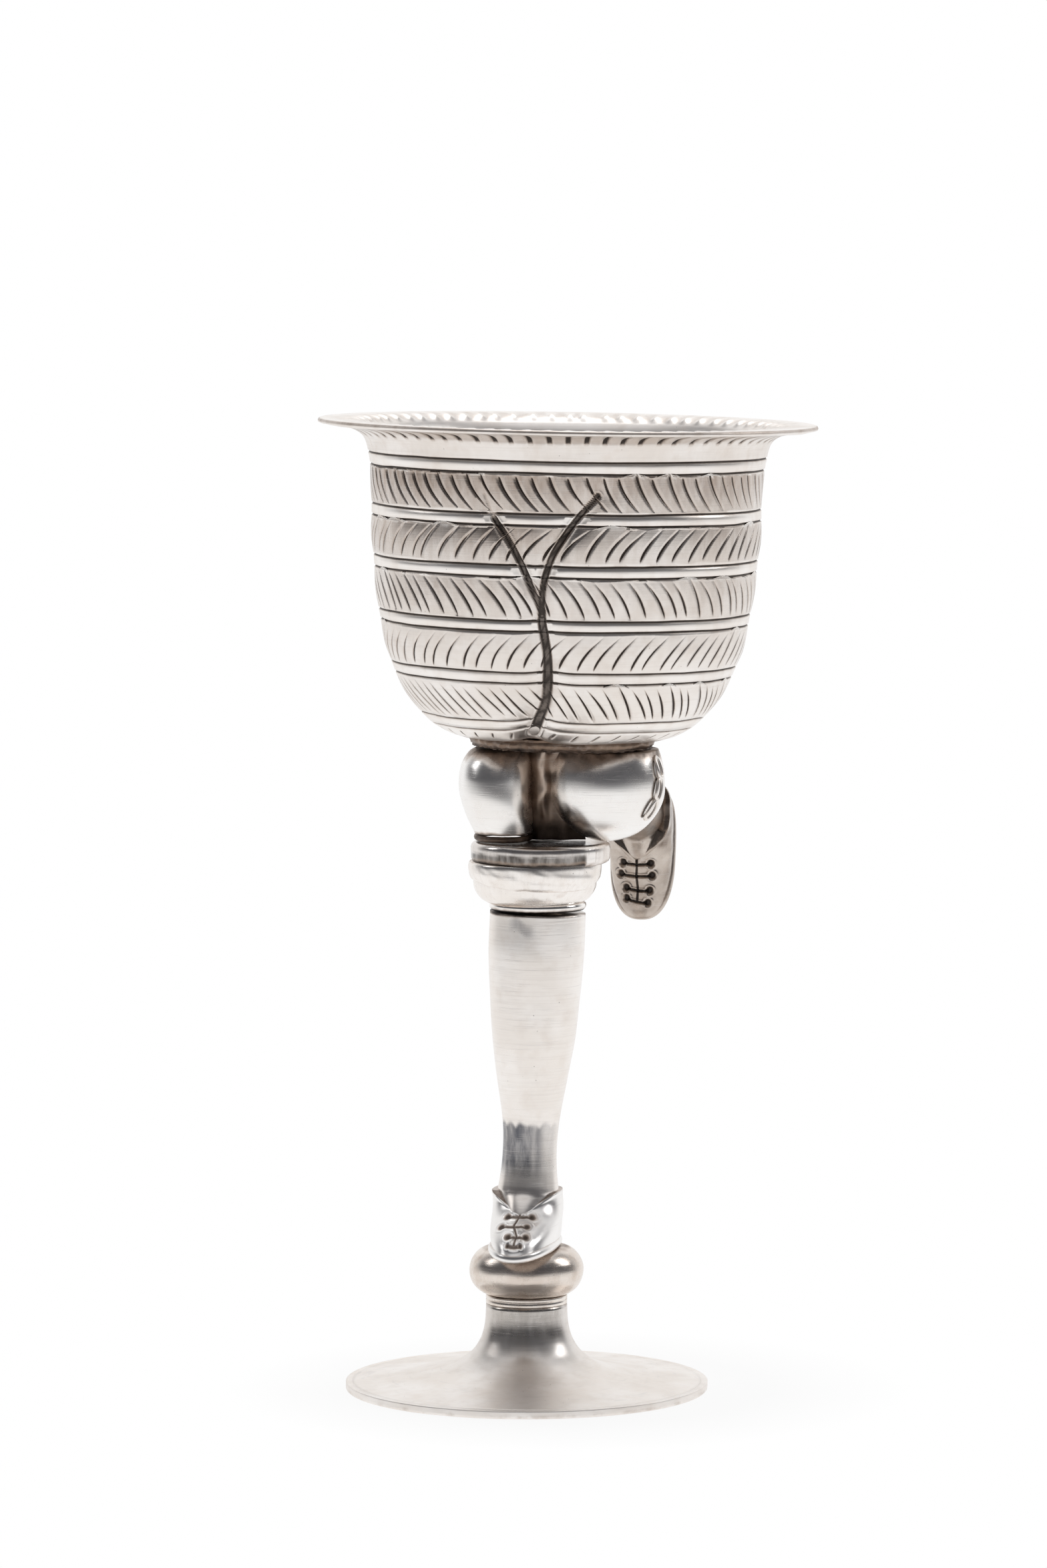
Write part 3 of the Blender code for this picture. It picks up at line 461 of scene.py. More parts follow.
# share of the length above the shoe, share of the swell from ankle to calf
calfOutline = [(0.0, 0.18), (0.08, 0.05), (0.16, 0.0), (0.24, 0.06), (0.33, 0.24), (0.43, 0.47), (0.55, 0.7),
               (0.7, 0.88), (0.85, 1.0), (1.0, 0.98)]
shoeHeight = 9.9
standingLeg = {"length": 50.4, "ankle": 4.87, "calf": 8.6, "steps": 112, "rows": 150, "tipZ": 6.3,
               "seed": 31, "paintedReflectionTop": 0.235, "lean": 1.9, "yaw": -10.0, "sole": (stemX, 0.0, 26.3)}
bentLeg = {"length": 34.6, "ankle": 4.5, "calf": 7.2, "steps": 96, "rows": 80, "tipZ": 6.8, "seed": 47,
           "knee": (7.1, -3.0, 109.556), "swing": 9.9, "drop": 13.5}


def calfGrid(look):
    rows = smoothRun(calfOutline)[0]
    up = np.linspace(1.0, 0.0, look["rows"])
    radius = look["ankle"] + np.interp(up, rows[:, 0], rows[:, 1]) * (look["calf"] - look["ankle"])
    inner = radius[-1] - 0.1
    low = np.linspace(0.3, 4.9, 12)
    radius = np.append(radius, inner * (1.0 - 0.028 * low))
    grid = spun(np.stack([radius, shoeHeight + np.append(up * look["length"], -low)], 1), look["steps"])
    # the tongue side reaches forward, as far as the vamp at each height
    reach = np.interp(grid[..., 2], [5.0, look["tipZ"], shoeHeight, shoeHeight + 0.8, shoeHeight + 4.0],
                      [5.1, 4.2, 0.3, 0.08, 0.0])
    grid[..., 1] -= reach * np.clip(-grid[..., 1] / inner, 0.0, 1.0) ** 1.5
    turn = turnOf(grid)
    # long flats left by the file above the ankle
    facets = 0.03 * np.abs(np.sin(turn * 9 + 0.6 * wave(turn, look["seed"] + 1)))
    height = (grid[..., 2] - shoeHeight) / look["length"]
    lift = softDents(grid, look["seed"], 11.0) * 0.05 - facets * bump((height - 0.12) / 0.22)
    return grid + normalsOf(grid) * lift[..., None], turn, height


def buildStandingCalf(look):
    grid, turn, height = calfGrid(look)
    # painted reflection of the dark room: above the ankle the silver is dark and smooth, mostly in front, up
    # to a scalloped line, with a dark smudge near the top
    front = 0.2 + 0.8 * easeOut(np.sin(turn + 0.25), -0.35, 0.2)
    line = look["paintedReflectionTop"] + 0.012 * np.abs(np.sin(turn * 7.0 + 1.1)) + 0.01 * wave(turn, 35, 5, 26)
    within = easeOut(height, line - 0.008, line + 0.012) * easeIn(height, 0.035, 0.11)
    stripes = np.clip(0.95 + 0.2 * wave(turn, 36, 6, 30) - 0.3 * hump(turn, -1.25, 0.1), 0.2, 1.0)
    side = 0.35 + 0.65 * easeOut(turn, -1.25, -0.75)
    smudge = 0.5 * bump((height - 0.955 + 0.02 * wave(turn, 37, 3, 20)) / 0.03) * bump((turn + 1.75) / 0.35)
    patinaAndPaintedReflection = np.maximum(within * stripes * front * side, smudge)
    stance = Matrix.Translation(look["sole"]) @ turned(look["lean"], "Y") @ turned(look["yaw"], "Z")
    grid = placed(grid, stance)
    dark = 0.9 * easeIn(grid[..., 2], 86.15, 86.6)
    skin("straightCalf", grid, "calfSilver", ["standing_calf"], "bright_silver", dark, patinaAndPaintedReflection)


def shinMatrix(look):
    # the bent leg's sole, with the shin's direction
    swing, drop = math.radians(look["swing"]), math.radians(look["drop"])
    shin = Vector((math.sin(swing) * math.cos(drop), math.cos(swing) * math.cos(drop), -math.sin(drop)))
    down = Vector((0, 0, -1))
    heel = (shin * down.dot(shin) - down).normalized()
    turn = Matrix((heel.cross(-shin), heel, -shin)).transposed().to_4x4()
    return Matrix.Translation(Vector(look["knee"]) + shin * (look["length"] + shoeHeight)) @ turn, shin


def buildBentCalf(look):
    grid, turn, height = calfGrid(look)
    dark = 0.12 + 0.25 * easeIn(np.cos(turn), 0.5, 0.95) * easeOut(height, 0.0, 0.3)
    skin("bentCalf", placed(grid, shinMatrix(look)[0]), "greySilver", ["bent_calf"], "bright_silver", dark)


buildStandingCalf(standingLeg)
buildBentCalf(bentLeg)
print("calves built")


shoeLook = {
    "toe": 19.0, "heel": 6.5, "soleWidth": 12.0, "wall": 0.45, "gap": 0.3, "sole": 1.3, "heelSquare": 0.6,
    "columns": 260, "rows": 150, "tongue": 3.3, "vampDrop": 3.6, "vampAngle": 26.0,
    # height, then shares of the toe's reach, the heel's reach, where it is widest, and the width
    "levels": [(0.0, 0.97, 0.95, 0.26, 0.95), (0.2, 0.88, 0.99, 0.22, 0.97), (0.38, 0.69, 1.0, 0.16, 0.98),
               (0.56, 0.47, 1.0, 0.05, 1.0), (0.76, 0.36, 0.99, 0.0, 1.0), (1.0, 0.325, 0.95, 0.0, 1.0)],
    # height, growth and tarnish of the sole's rows
    "welt": [(1.6, -0.5, 0.5), (1.5, 0.0, 0.2), (1.3, 0.16, 0.0), (0.95, 0.3, 0.0), (0.6, 0.3, 0.0),
             (0.35, 0.2, 0.2), (0.15, 0.05, 0.5), (0.0, -0.2, 0.6)],
    "weltColumns": 120,
}
# each lace row: side and distance below the tongue of its left eyelet, then of its right one
standingShoe = {
    "name": "standingShoe", "nodes": ("standing_shoe_upper", "standing_shoe_sole"), "leg": standingLeg,
    "finish": "shoeSilver", "slot": "bright_silver", "seed": 3, "aside": 0.6, "toeSquare": 0.98,
    "droop": 0.9, "collar": 0.75, "eyelet": (0.8, 1.1), "fade": 0.42, "bar": 0.5, "ink": 0.82,
    "relief": 0.35, "dents": 0.006, "brown": 0.0,
    "laces": [(-2.2, 0.0, 2.25, -0.1), (-2.95, 3.2, 1.75, 3.25), (-1.25, 6.6, 1.95, 6.4),
              (-1.05, 8.9, 1.3, 8.8)],
}
hangingShoe = {
    "name": "hangingShoe", "nodes": ("hanging_shoe_upper", "hanging_shoe_sole"), "leg": bentLeg,
    "finish": "greySilver", "slot": "worn_silver", "seed": 9, "aside": 0.0, "toeSquare": 0.82,
    "droop": 0.0, "collar": 1.0, "eyelet": (0.74, 0.74), "fade": 0.0, "bar": 0.25, "ink": 1.0,
    "relief": 1.0, "dents": 0.035, "brown": 1.0,
    "laces": [(-2.8, 0.1, 2.3, 0.25), (-3.3, 2.25, 2.5, 2.5), (-2.3, 4.8, 2.0, 5.3), (-2.3, 6.8, 1.6, 7.6)],
}


def lastRing(look, own, z, aside, toe, heel, widest, half, columns):
    # a shoemaker's outline, its points crowded towards the toe
    a = tau * np.arange(columns) / columns - math.pi / 2.0
    a = a - 0.62 * np.sin(a + math.pi / 2.0)
    behind = np.sin(a) > 0.0
    square = np.where(behind, look["heelSquare"], own["toeSquare"])
    reach = np.where(behind, heel - widest, widest - toe)
    side = np.sign(np.cos(a)) * np.abs(np.cos(a)) ** square
    along = np.sign(np.sin(a)) * np.abs(np.sin(a)) ** square
    return np.stack([aside + half * side, widest + reach * along, np.full(columns, z)], 1)


def drooping(y, own):
    # the toe hangs a little over the knop's edge
    return own["droop"] * np.clip((-y - 8.0) / 10.0, 0.0, 1.2) ** 2


def lacing(side, down, front, own):
    # eyelets, laces and the seam under them: how far they are sunk and how dark they are
    lift, dark = np.zeros((2, *side.shape))
    eyeWide, eyeLong = own["eyelet"]
    middles = []
    for leftSide, leftDown, rightSide, rightDown in own["laces"]:
        centre, spread = (leftSide + rightSide) / 2.0, (rightSide - leftSide) / 2.0
        level, slant = (leftDown + rightDown) / 2.0, (rightDown - leftDown) / 2.0
        middles.append((level, centre))
        for eyeSide, eyeDown in ((leftSide, leftDown), (rightSide, rightDown)):
            size = 1.0 - own["fade"] * easeIn(eyeDown, 6.8, 8.8)
            away = np.hypot((side - eyeSide) / eyeWide, (down - eyeDown) / eyeLong) / size
            lift += (0.14 * hump(away, 1.35, 0.25) - 0.5 * bump(away / 1.1)) * front
            dark = np.maximum(dark, 1.1 * bump(away / 1.15) * front)
        share = (side - centre) / spread
        sag = 0.35 * eyeLong * (1.0 - share ** 2)
        across = np.abs(down - level - slant * share - sag) / own["bar"]
        ends = easeOut(np.abs(share), 0.8, 1.0) * front
        lift += (0.12 * hump(across, 1.7, 0.45) - 0.3 * bump(across / 1.15)) * ends
        dark = np.maximum(dark, bump(across / 1.2) * ends)
    # the seam wanders from row to row
    seamDown, seamSide = np.array([(-0.6, middles[0][1])] + middles).T
    seam = easeIn(down, -0.8, -0.4) * easeOut(down, seamDown[-1], seamDown[-1] + 0.3) * front
    seam = seam * bump((side - np.interp(down, seamDown, seamSide)) / 0.3)
    return own["relief"] * (lift - 0.24 * seam), own["ink"] * np.maximum(dark, seam), middles[0][1]


def buildShoe(look, own, matrix):
    leg = own["leg"]
    inside = leg["ankle"] + calfOutline[0][1] * (leg["calf"] - leg["ankle"]) - 0.1
    half = look["soleWidth"] / 2.0
    wide = max(half, inside + look["gap"] + look["wall"])
    bottom = look["sole"] + 0.1
    rise = shoeHeight - bottom
    levels = smoothRun(look["levels"])[0]
    rows = []
    for up in np.concatenate([np.linspace(1.0, 0.62, 34), np.linspace(0.61, 0.0, look["rows"] - 34)]):
        toe, heel, widest, share = [np.interp(up, levels[:, 0], column) for column in levels.T[1:]]
        width = share * (half + (wide - half) * min(up / 0.3, 1.0))
        rows.append(lastRing(look, own, bottom + rise * up, own["aside"] * (1 - up), -look["toe"] * toe,
                             look["heel"] * heel, -look["toe"] * widest, width, look["columns"]))
    grid = np.array(rows)
    x, y, z = np.moveaxis(grid, 2, 0)

    # how far each point lies down the front from the tongue's tip, and to the side
    vampZ = shoeHeight - look["vampDrop"]
    vampY = -look["toe"] * np.interp((vampZ - bottom) / rise, levels[:, 0], levels[:, 1])
    lean = math.radians(look["vampAngle"])
    down = (vampY - y) * math.cos(lean) + (vampZ - z) * math.sin(lean)
    side = x - own["aside"] * (1 - (z - bottom) / rise)
    front = easeOut(y, -3.5, -1.0)
    lift, dark, tipSide = lacing(side, down, front, own)

    # the collar: a V opening down to the tongue's tip, with a rolled lip and a dark line inside it
    tipZ = shoeHeight - look["tongue"]
    slope = look["tongue"] / (inside + 0.4)
    edge = z - tipZ - np.abs(side - tipSide * easeOut(z, tipZ, shoeHeight)) * slope
    lift += 0.2 * (0.3 + 0.7 * own["relief"]) * hump(edge, -0.4, 0.25) * front * (z > tipZ - 1.0)
    lift += 0.1 * hump(z, shoeHeight - 0.35, 0.3) + softDents(grid, own["seed"], 5.0) * own["dents"]
    line = own["collar"] * bump((edge - 0.05) / 0.26) * easeOut(y, -2.0, 0.0) * (z > tipZ - 0.6)
    dark = np.maximum.reduce([dark, line, 0.5 * easeIn(z, shoeHeight - 0.25, shoeHeight),
                              0.35 * easeOut(z, bottom, bottom + 0.3)])
    grid = grid + normalsOf(grid) * lift[..., None]
    # brown along the outer side and down from the right collar
    veil = 0.8 * easeIn(side, 3.4, 6.4) + 0.7 * easeIn(side, 1.5, 5.0) * easeIn(z, 5.0, 8.5)
    veil = own["brown"] * veil * (0.75 + 0.4 * softDents(grid, 12, 2.5))
    # what lies inside the V sinks into the leg
    reach = np.hypot(x, y)
    scale = np.where(reach > inside - 0.8, (inside - 0.9) / np.maximum(reach, 1e-6), 1.0)
    sunk = np.stack([x * scale, y * scale, z], 2)
    opened = (easeIn(edge, 0.0, 0.16) * easeOut(y, -1.4, 0.0))[..., None]
    grid = grid * (1 - opened) + sunk * opened
    grid[..., 2] -= drooping(y, own)
    # the collar's thickness turns inwards over the ankle
    lip = grid[:1].copy()
    lip[..., :2] *= (inside - 0.25) / wide
    lip[..., 2] -= 0.15
    shade = np.vstack([np.full((1, look["columns"]), 0.5), dark])
    upper = placed(np.concatenate([lip, grid], 0), matrix)
    skin(own["name"] + "Upper", upper, own["finish"], own["nodes"][:1], own["slot"], shade,
         np.vstack([veil[:1], veil]))

    # the sole with its rounded welt
    soles = np.array([lastRing(look, own, height, own["aside"], -0.96 * look["toe"] - grow,
                               0.96 * look["heel"] + grow, -0.35 * look["toe"], 0.96 * half + grow,
                               look["weltColumns"]) for height, grow, _ in look["welt"]])
    soles[..., 2] -= drooping(soles[..., 1], own)
    skin(own["name"] + "Sole", placed(soles, matrix), own["finish"], own["nodes"][1:], own["slot"],
         np.array(look["welt"])[:, 2:])


buildShoe(shoeLook, standingShoe, Matrix.Translation(standingLeg["sole"]) @ turned(standingLeg["yaw"], "Z"))
hangingMatrix, shinWay = shinMatrix(bentLeg)
buildShoe(shoeLook, hangingShoe, hangingMatrix)
print("shoes built")


cuffLook = {
    "bandX": -5.4, "steps": 240,
    "band": [(8.35, 88.5), (8.66, 88.2), (8.72, 87.85), (8.68, 87.5), (8.45, 87.25), (8.3, 87.05)],
    "lower": [(10.9, 93.0), (11.05, 92.3), (11.0, 91.4), (10.75, 90.6), (10.3, 89.8), (9.6, 89.0),
              (8.75, 88.45)],
    "middle": [(11.6, 95.8), (11.85, 95.5), (11.95, 94.9), (11.9, 94.0), (11.8, 93.2), (11.5, 92.6),
               (10.8, 92.1)],
    "top": [(3.0, 99.4), (10.8, 99.35), (11.9, 99.2), (12.4, 98.8), (12.55, 98.2), (12.5, 97.2),
            (12.45, 96.4), (12.2, 95.9), (11.6, 95.6)],
    # name, rows, X, seed, flute, sway, darkness of the upper and lower edge, finish, slot
    "rolls": [("lower", 30, -5.9, 60, 0.04, 0.06, 0.25, 0.4, "rollSilver", "worn_silver"),
              ("middle", 34, -5.9, 70, 0.05, 0.08, 0.35, 0.4, "rollSilver", "bright_silver"),
              ("top", 34, -4.9, 80, 0.07, 0.07, 0.5, 0.75, "streakedSilver", "dark_silver")],
    # creases of the middle roll: from and to turn, from and to height, size
    "creases": [(-3.3, -1.7, 94.7, 93.0, 0.09), (-1.9, -0.2, 94.4, 92.6, 0.1), (0.6, 2.4, 93.4, 94.8, 0.1)],
}


def foldOver(grid, turn, down, look):
    # the middle roll sags over the lower one in front, with slanting creases in it
    sag = 1.15 * bump((turn + 1.15) / 1.1) + 0.5 * bump((turn + 2.2) / 0.5)
    grid[..., 2] -= sag * easeIn(down, 0.35, 1.0)
    ridge = np.zeros_like(turn)
    for start, end, high, low, size in look["creases"]:
        share = (turn - start) / (end - start)
        away = grid[..., 2] - high - (low - high) * share
        within = easeIn(share, 0.0, 0.2) * easeOut(share, 0.75, 1.0)
        ridge += size * within * (hump(away, 0.0, 0.7) - 1.1 * hump(away, -1.0, 0.45))
    return ridge


def buildCuff(look):
    band = drawnIn(spun(look["band"], look["steps"]), 0.75)
    band[..., 0] += look["bandX"]
    dark = np.array([0.6, 0.0, 0.0, 0.0, 0.35, 0.95, 1.0, 1.0])[:, None] + np.zeros(look["steps"])
    ringPiece("stockingBand", band, "polishedSilver", ["stocking_band"], "bright_silver", dark)
    for name, rows, x, seed, flute, sway, highDark, lowDark, finish, slotName in look["rolls"]:
        grid = spun(smoothRun(look[name], rows), look["steps"])
        turn = turnOf(grid)
        outward = circled(1.0, turn, 0.0)
        body = np.sin(np.linspace(0.0, math.pi, rows))[:, None]
        ripple = flute * wave(turn + 0.15 * grid[..., 2], seed, 9, 34) + 0.09 * wave(turn, seed + 1, 2, 7)
        grid = grid + outward * (ripple * body)[..., None]
        grid[..., 2] += sway * wave(turn, seed + 2, 1, 6)
        grid[..., 0] += x
        down = np.linspace(0.0, 1.0, rows)[:, None] + 0.0 * turn
        uneven = np.clip(0.7 + 0.5 * wave(turn, seed + 5, 2, 14), 0.1, 1.3)
        dark = lowDark * easeIn(down, 0.88, 1.0) * uneven + highDark * easeOut(down, 0.02, 0.1)
        veil = np.zeros_like(turn)
        if name == "lower":
            stain = np.clip(wave(turn + 0.3 * down, seed + 4, 3, 20) - 0.2, 0, 1)
            dark += 0.5 * stain * bump((down - 0.3) / 0.4)
        elif name == "middle":
            ridge = foldOver(grid, turn, down, look)
            grid = grid + outward * ridge[..., None]
            dark += np.clip(-ridge, 0.0, 0.12)
        else:
            # painted reflection of the dark room: dark streaks on the left in front, up to a sharp end
            front = easeOut(turn, -0.9, -0.83) + easeIn(turn, 2.6, 3.1)
            streaks = np.clip(0.9 + 0.4 * wave(turn, 84, 20, 70), 0.3, 1.0)
            level = easeIn(down + 0.03 * wave(turn, 86, 2, 18), 0.79, 0.85)
            veil = 1.6 * front * streaks * (0.12 + 0.88 * level) * easeIn(down, 0.5, 0.7)
            dark += 0.6 * front * easeIn(down, 0.86, 0.94)
        skin("cuff" + name.capitalize(), drawnIn(grid, 0.6, x), finish, ["cuff_" + name + "_roll"], slotName,
             edged(dark), edged(veil))


buildCuff(cuffLook)
print("cuff built")


kneeLook = {
    "leftRight": -6.25, "leftWidth": 13.3, "leftDepth": 19.0, "leftLow": 100.95, "top": 116.25,
    # height, share of the width, share of the depth
    "leftOutline": [(0.0, 0.79, 0.82), (0.2, 0.9, 0.94), (0.42, 0.985, 0.99), (0.62, 1.0, 0.97),
                    (0.75, 0.98, 0.92), (0.85, 0.94, 0.85), (0.95, 0.86, 0.74), (1.0, 0.77, 0.64)],
    "ringZ": 100.15, "ringWire": 0.5, "ringSteps": 96,
    "ball": (7.1, -3.0, 109.556), "ballRadius": 10.25, "below": 9.9, "above": 6.6, "topRadius": 9.1,
    "steps": 128,
}


def oval(look, wide, deep, turn, z, grow=0.0):
    # rings whose right side stays at the straight knee's right side
    half, deep = look["leftWidth"] / 2 * wide, look["leftDepth"] / 2 * deep
    x = look["leftRight"] - half + (half + grow) * np.cos(turn)
    return np.stack([x, (deep + grow) * np.sin(turn), z + 0.0 * turn], -1)


def buildLeftKnee(look):
    up, wide, deep = smoothRun(look["leftOutline"], 60)[::-1].T[..., None]
    low, top = look["leftLow"], look["top"]
    grid = dented(oval(look, wide, deep, turnsOf(look["steps"]), low + (top - low) * up), 91, 7.0, 0.05)
    z = grid[..., 2]
    middleX = look["leftRight"] - look["leftWidth"] / 2
    wander = 0.5 * wave(turnOf(grid - [middleX, 0.0, 0.0]), 92, 3, 20)
    # darker towards the top under the plate, tarnish and painted shade; darker at the bottom by the ring
    dark = 0.55 * easeIn(z + wander, top - 2.8, top - 0.6)
    dark += 0.55 * easeOut(z + 0.4 * wander, low + 0.1, low + 0.6)
    jag = 0.3 * wave(z * 1.3, 93) * easeOut(z, 103, 109)
    dark += 0.25 * easeIn(grid[..., 0] + jag, look["leftRight"] - 1.2, look["leftRight"] - 0.2)
    skin("straightKnee", grid, "kneeSilver", ["left_knee"], "bright_silver", dark)


def buildKneeRing(look):
    turn, section = turnsOf(look["ringSteps"]), turnsOf(10)[:, None]
    wire = look["ringWire"]
    _, wide, deep = look["leftOutline"][0]
    z = look["ringZ"] - 1.1 * wire * np.sin(section) + 0.05 * wave(turn, 95, 3, 14)
    grid = oval(look, wide, deep, turn, z, wire * np.cos(section) - wire + 0.12)
    ringPiece("kneeRing", grid, "darkSolder", ["knee_ring"], "dark_silver", 0.55)


def buildRightKnee(look):
    ball, above = look["ballRadius"], look["above"]
    cut = math.sqrt(1.0 - (look["topRadius"] / ball) ** 2)
    over, under = np.linspace(math.asin(cut), 0.0, 16)[:-1], np.linspace(0.0, -math.pi / 2, 44)[:-1]
    rows = [(0.05, above)] + [(ball * math.cos(a), above * math.sin(a) / cut) for a in over]
    rows += [(ball * math.cos(a), look["below"] * math.sin(a)) for a in under]
    grid = spun(rows, look["steps"])
    # in front the upper half is rounded like a ball
    high = np.maximum(grid[..., 2], 0.0)
    rounder = np.sqrt(1.0 - (high / 10.9) ** 2) / np.sqrt(1.0 - (high * cut / above) ** 2)
    grid[..., 1] *= np.where(grid[..., 1] < 0, rounder, 1.0)
    grid = dented(grid, 97, 8.0, 0.05)
    wander = 0.5 * wave(turnOf(grid), 98, 3, 22)
    grid = grid + np.array(look["ball"])
    top = look["ball"][2] + above
    # darker towards the top under the plate, tarnish and painted shade
    dark = 0.6 * easeIn(grid[..., 2] + wander, top - 2.6, top - 0.6)
    dark += 0.4 * easeOut(grid[..., 0], -3.15, -2.8) * easeOut(grid[..., 2], 103, 112)
    skin("bentKnee", grid, "kneeSilver", ["right_knee"], "bright_silver", dark)


webLook = {"rows": 60, "columns": 44, "left": -7.2, "right": 2.2, "top": 116.15, "low": 99.7, "back": 2.4}


def buildWeb(look):
    # solder and sheet that fill the dark recess between the knees
    rows, columns = look["rows"], look["columns"]
    z = np.linspace(look["top"], look["low"], rows)[:, None] + np.zeros(columns)
    x = np.linspace(look["left"], look["right"], columns) + np.zeros((rows, 1))
    x = x + np.interp(z, [99.7, 103.0, 106.0, 116.2], [1.0, 0.3, 0.0, 0.0]) * np.clip((x + 5.5) / 7, 0, 1)
    rib = hump(x, -4.5 - 0.25 * np.sin(z * 0.9), 1.1)
    high = easeIn(z, 101.0, 109.0)
    y = -1.4 - 2.8 * high - 1.9 * rib * (0.3 + 0.7 * high) - hump(x, -1.0, 1.4) * (1 - high)
    # it widens into a funnel under the plate, and runs back along the straight knee's side
    y = y - 1.8 * easeIn(z, 111.5, 116.0)
    y = 0.5 + (y - 0.5) * (0.5 + 0.5 * easeIn(x, -7.2, -5.4))
    front = np.stack([x, y, z], 2)
    front[..., 1] += softDents(front, 101, 5.0) * 0.06
    back = front * np.array([1, 0, 1]) + np.array([0, look["back"], 0])
    index = np.arange(rows * columns).reshape(rows, columns)
    count = rows * columns
    quads = np.stack([index[:-1, :-1], index[1:, :-1], index[1:, 1:], index[:-1, 1:]], -1).reshape(-1, 4)
    edge = np.concatenate([index[0, :-1], index[:-1, -1], index[-1, :0:-1], index[:0:-1, 0]])
    after = np.roll(edge, -1)
    rim = np.stack([edge, after, after + count, edge + count], -1)
    faces = np.concatenate([quads, quads[:, ::-1] + count, rim], 0).tolist()
    # the rib is left lighter, a painted highlight; darker at the top under the plate; near black at the
    # bottom, tarnish and painted shade in the pit
    dark = 0.28 - 0.16 * rib * high + 0.15 * easeIn(z, 113, 116) + 0.65 * easeOut(z, 101.5, 104.5)
    addPiece("kneeWeb", np.concatenate([front, back]).reshape(-1, 3), faces, "webSolder", ["knee_web"],
             "dark_silver", np.concatenate([dark, dark]))


chainLook = {"links": 3, "length": 4.6, "width": 2.2, "wire": 0.34, "overlap": 1.5, "behind": -3.6,
             "start": 17.0, "gap": 0.12, "steps": 40, "sides": 12}


def buildChain(look, knee, shin):
    ball, wire = knee["ballRadius"], look["wire"]
    tilt = math.asin(look["behind"] / ball)
    tall = knee["above"] / math.sqrt(1.0 - (knee["topRadius"] / ball) ** 2)
    right = Vector((0, 0, 1)).cross(-shin).normalized()
    up = right.cross(shin)
    step = (look["length"] - look["overlap"] * wire) / (ball + 0.3 + wire) / math.cos(tilt)
    turn, section = turnsOf(look["steps"]), turnsOf(look["sides"])[:, None]
    long, wide = look["length"] / 2 - wire, look["width"] / 2 - wire
    px = (long + wire * np.cos(section)) * np.sign(np.cos(turn)) * np.abs(np.cos(turn)) ** 0.8
    py = (wide + wire * np.cos(section)) * np.sin(turn)
    # each link bends with the ball
    pz = -wire * 0.9 * np.sin(section) - px ** 2 / (2 * ball)
    points, faces = [], []
    for i in range(look["links"]):
        a = math.radians(look["start"]) - step * i
        outward = right * math.cos(a) + up * math.sin(a)
        along = up * math.cos(a) - right * math.sin(a)
        across = shin * math.cos(tilt) - outward * math.sin(tilt)
        normal = shin * math.sin(tilt) + outward * math.cos(tilt)
        bulge = math.hypot(math.cos(a) / ball, math.sin(a) / (tall if a > 0 else ball))
        middle = Vector(knee["ball"]) + normal * (1 / bulge + look["gap"] + wire)
        link = np.stack([px, py, pz], -1) @ np.array([along, across, normal]) + np.array(middle)
        faces += gridFaces(link.shape, i * px.size, closed=True)
        points.append(link.reshape(-1, 3))
    dark = 0.75 * easeIn(np.sin(section), 0.1, 0.9) + 0.0 * turn
    addPiece("kneeChain", np.vstack(points), faces, "calfSilver", ["knee_chain"], "bright_silver",
             np.tile(dark.reshape(-1), look["links"]))


buildLeftKnee(kneeLook)
buildKneeRing(kneeLook)
buildRightKnee(kneeLook)
buildWeb(webLook)
buildChain(chainLook, kneeLook, shinWay)
print("knees, web and chain built")


bowlStand = {"base": (-1.01, 0.0, 116.75), "lean": 1.0}
seatLook = {"steps": 200, "rows": 70,
            "section": [(0.3, 2.0), (15.8, 2.0), (16.3, 1.7), (16.55, 1.2), (16.7, 0.75), (16.4, 0.35),
                        (15.8, 0.0), (15.0, -0.25), (0.3, -0.25)]}


def stoodUp(points, rise):
    matrix = Matrix.Translation(bowlStand["base"]) @ turned(bowlStand["lean"], "Y")
    return placed(points, matrix @ Matrix.Translation((0, 0, rise)))


def buildSeat(look):
    grid = spun(smoothRun(look["section"], look["rows"]), look["steps"])
    turn = turnOf(grid)
    radius = radiusOf(grid)
    edge = easeIn(radius, 13.5, 16.4)
    grid[..., :2] *= (1.0 - 0.014 * edge * np.abs(wave(turn, 111, 5, 30)))[..., None]
    grid[..., 2] += 0.22 * edge * wave(turn, 113, 4, 44)
    grid = dented(grid, 114, 1.6, 0.1 * edge)
    dark = 0.62 - 0.3 * bump((radius - 16.75) / 0.5) + 0.35 * wave(turn, 115, 5, 60)
    skin("kneePlate", stoodUp(grid, 0.0), "darkSolder", ["bowl_seat"], "dark_silver", dark)


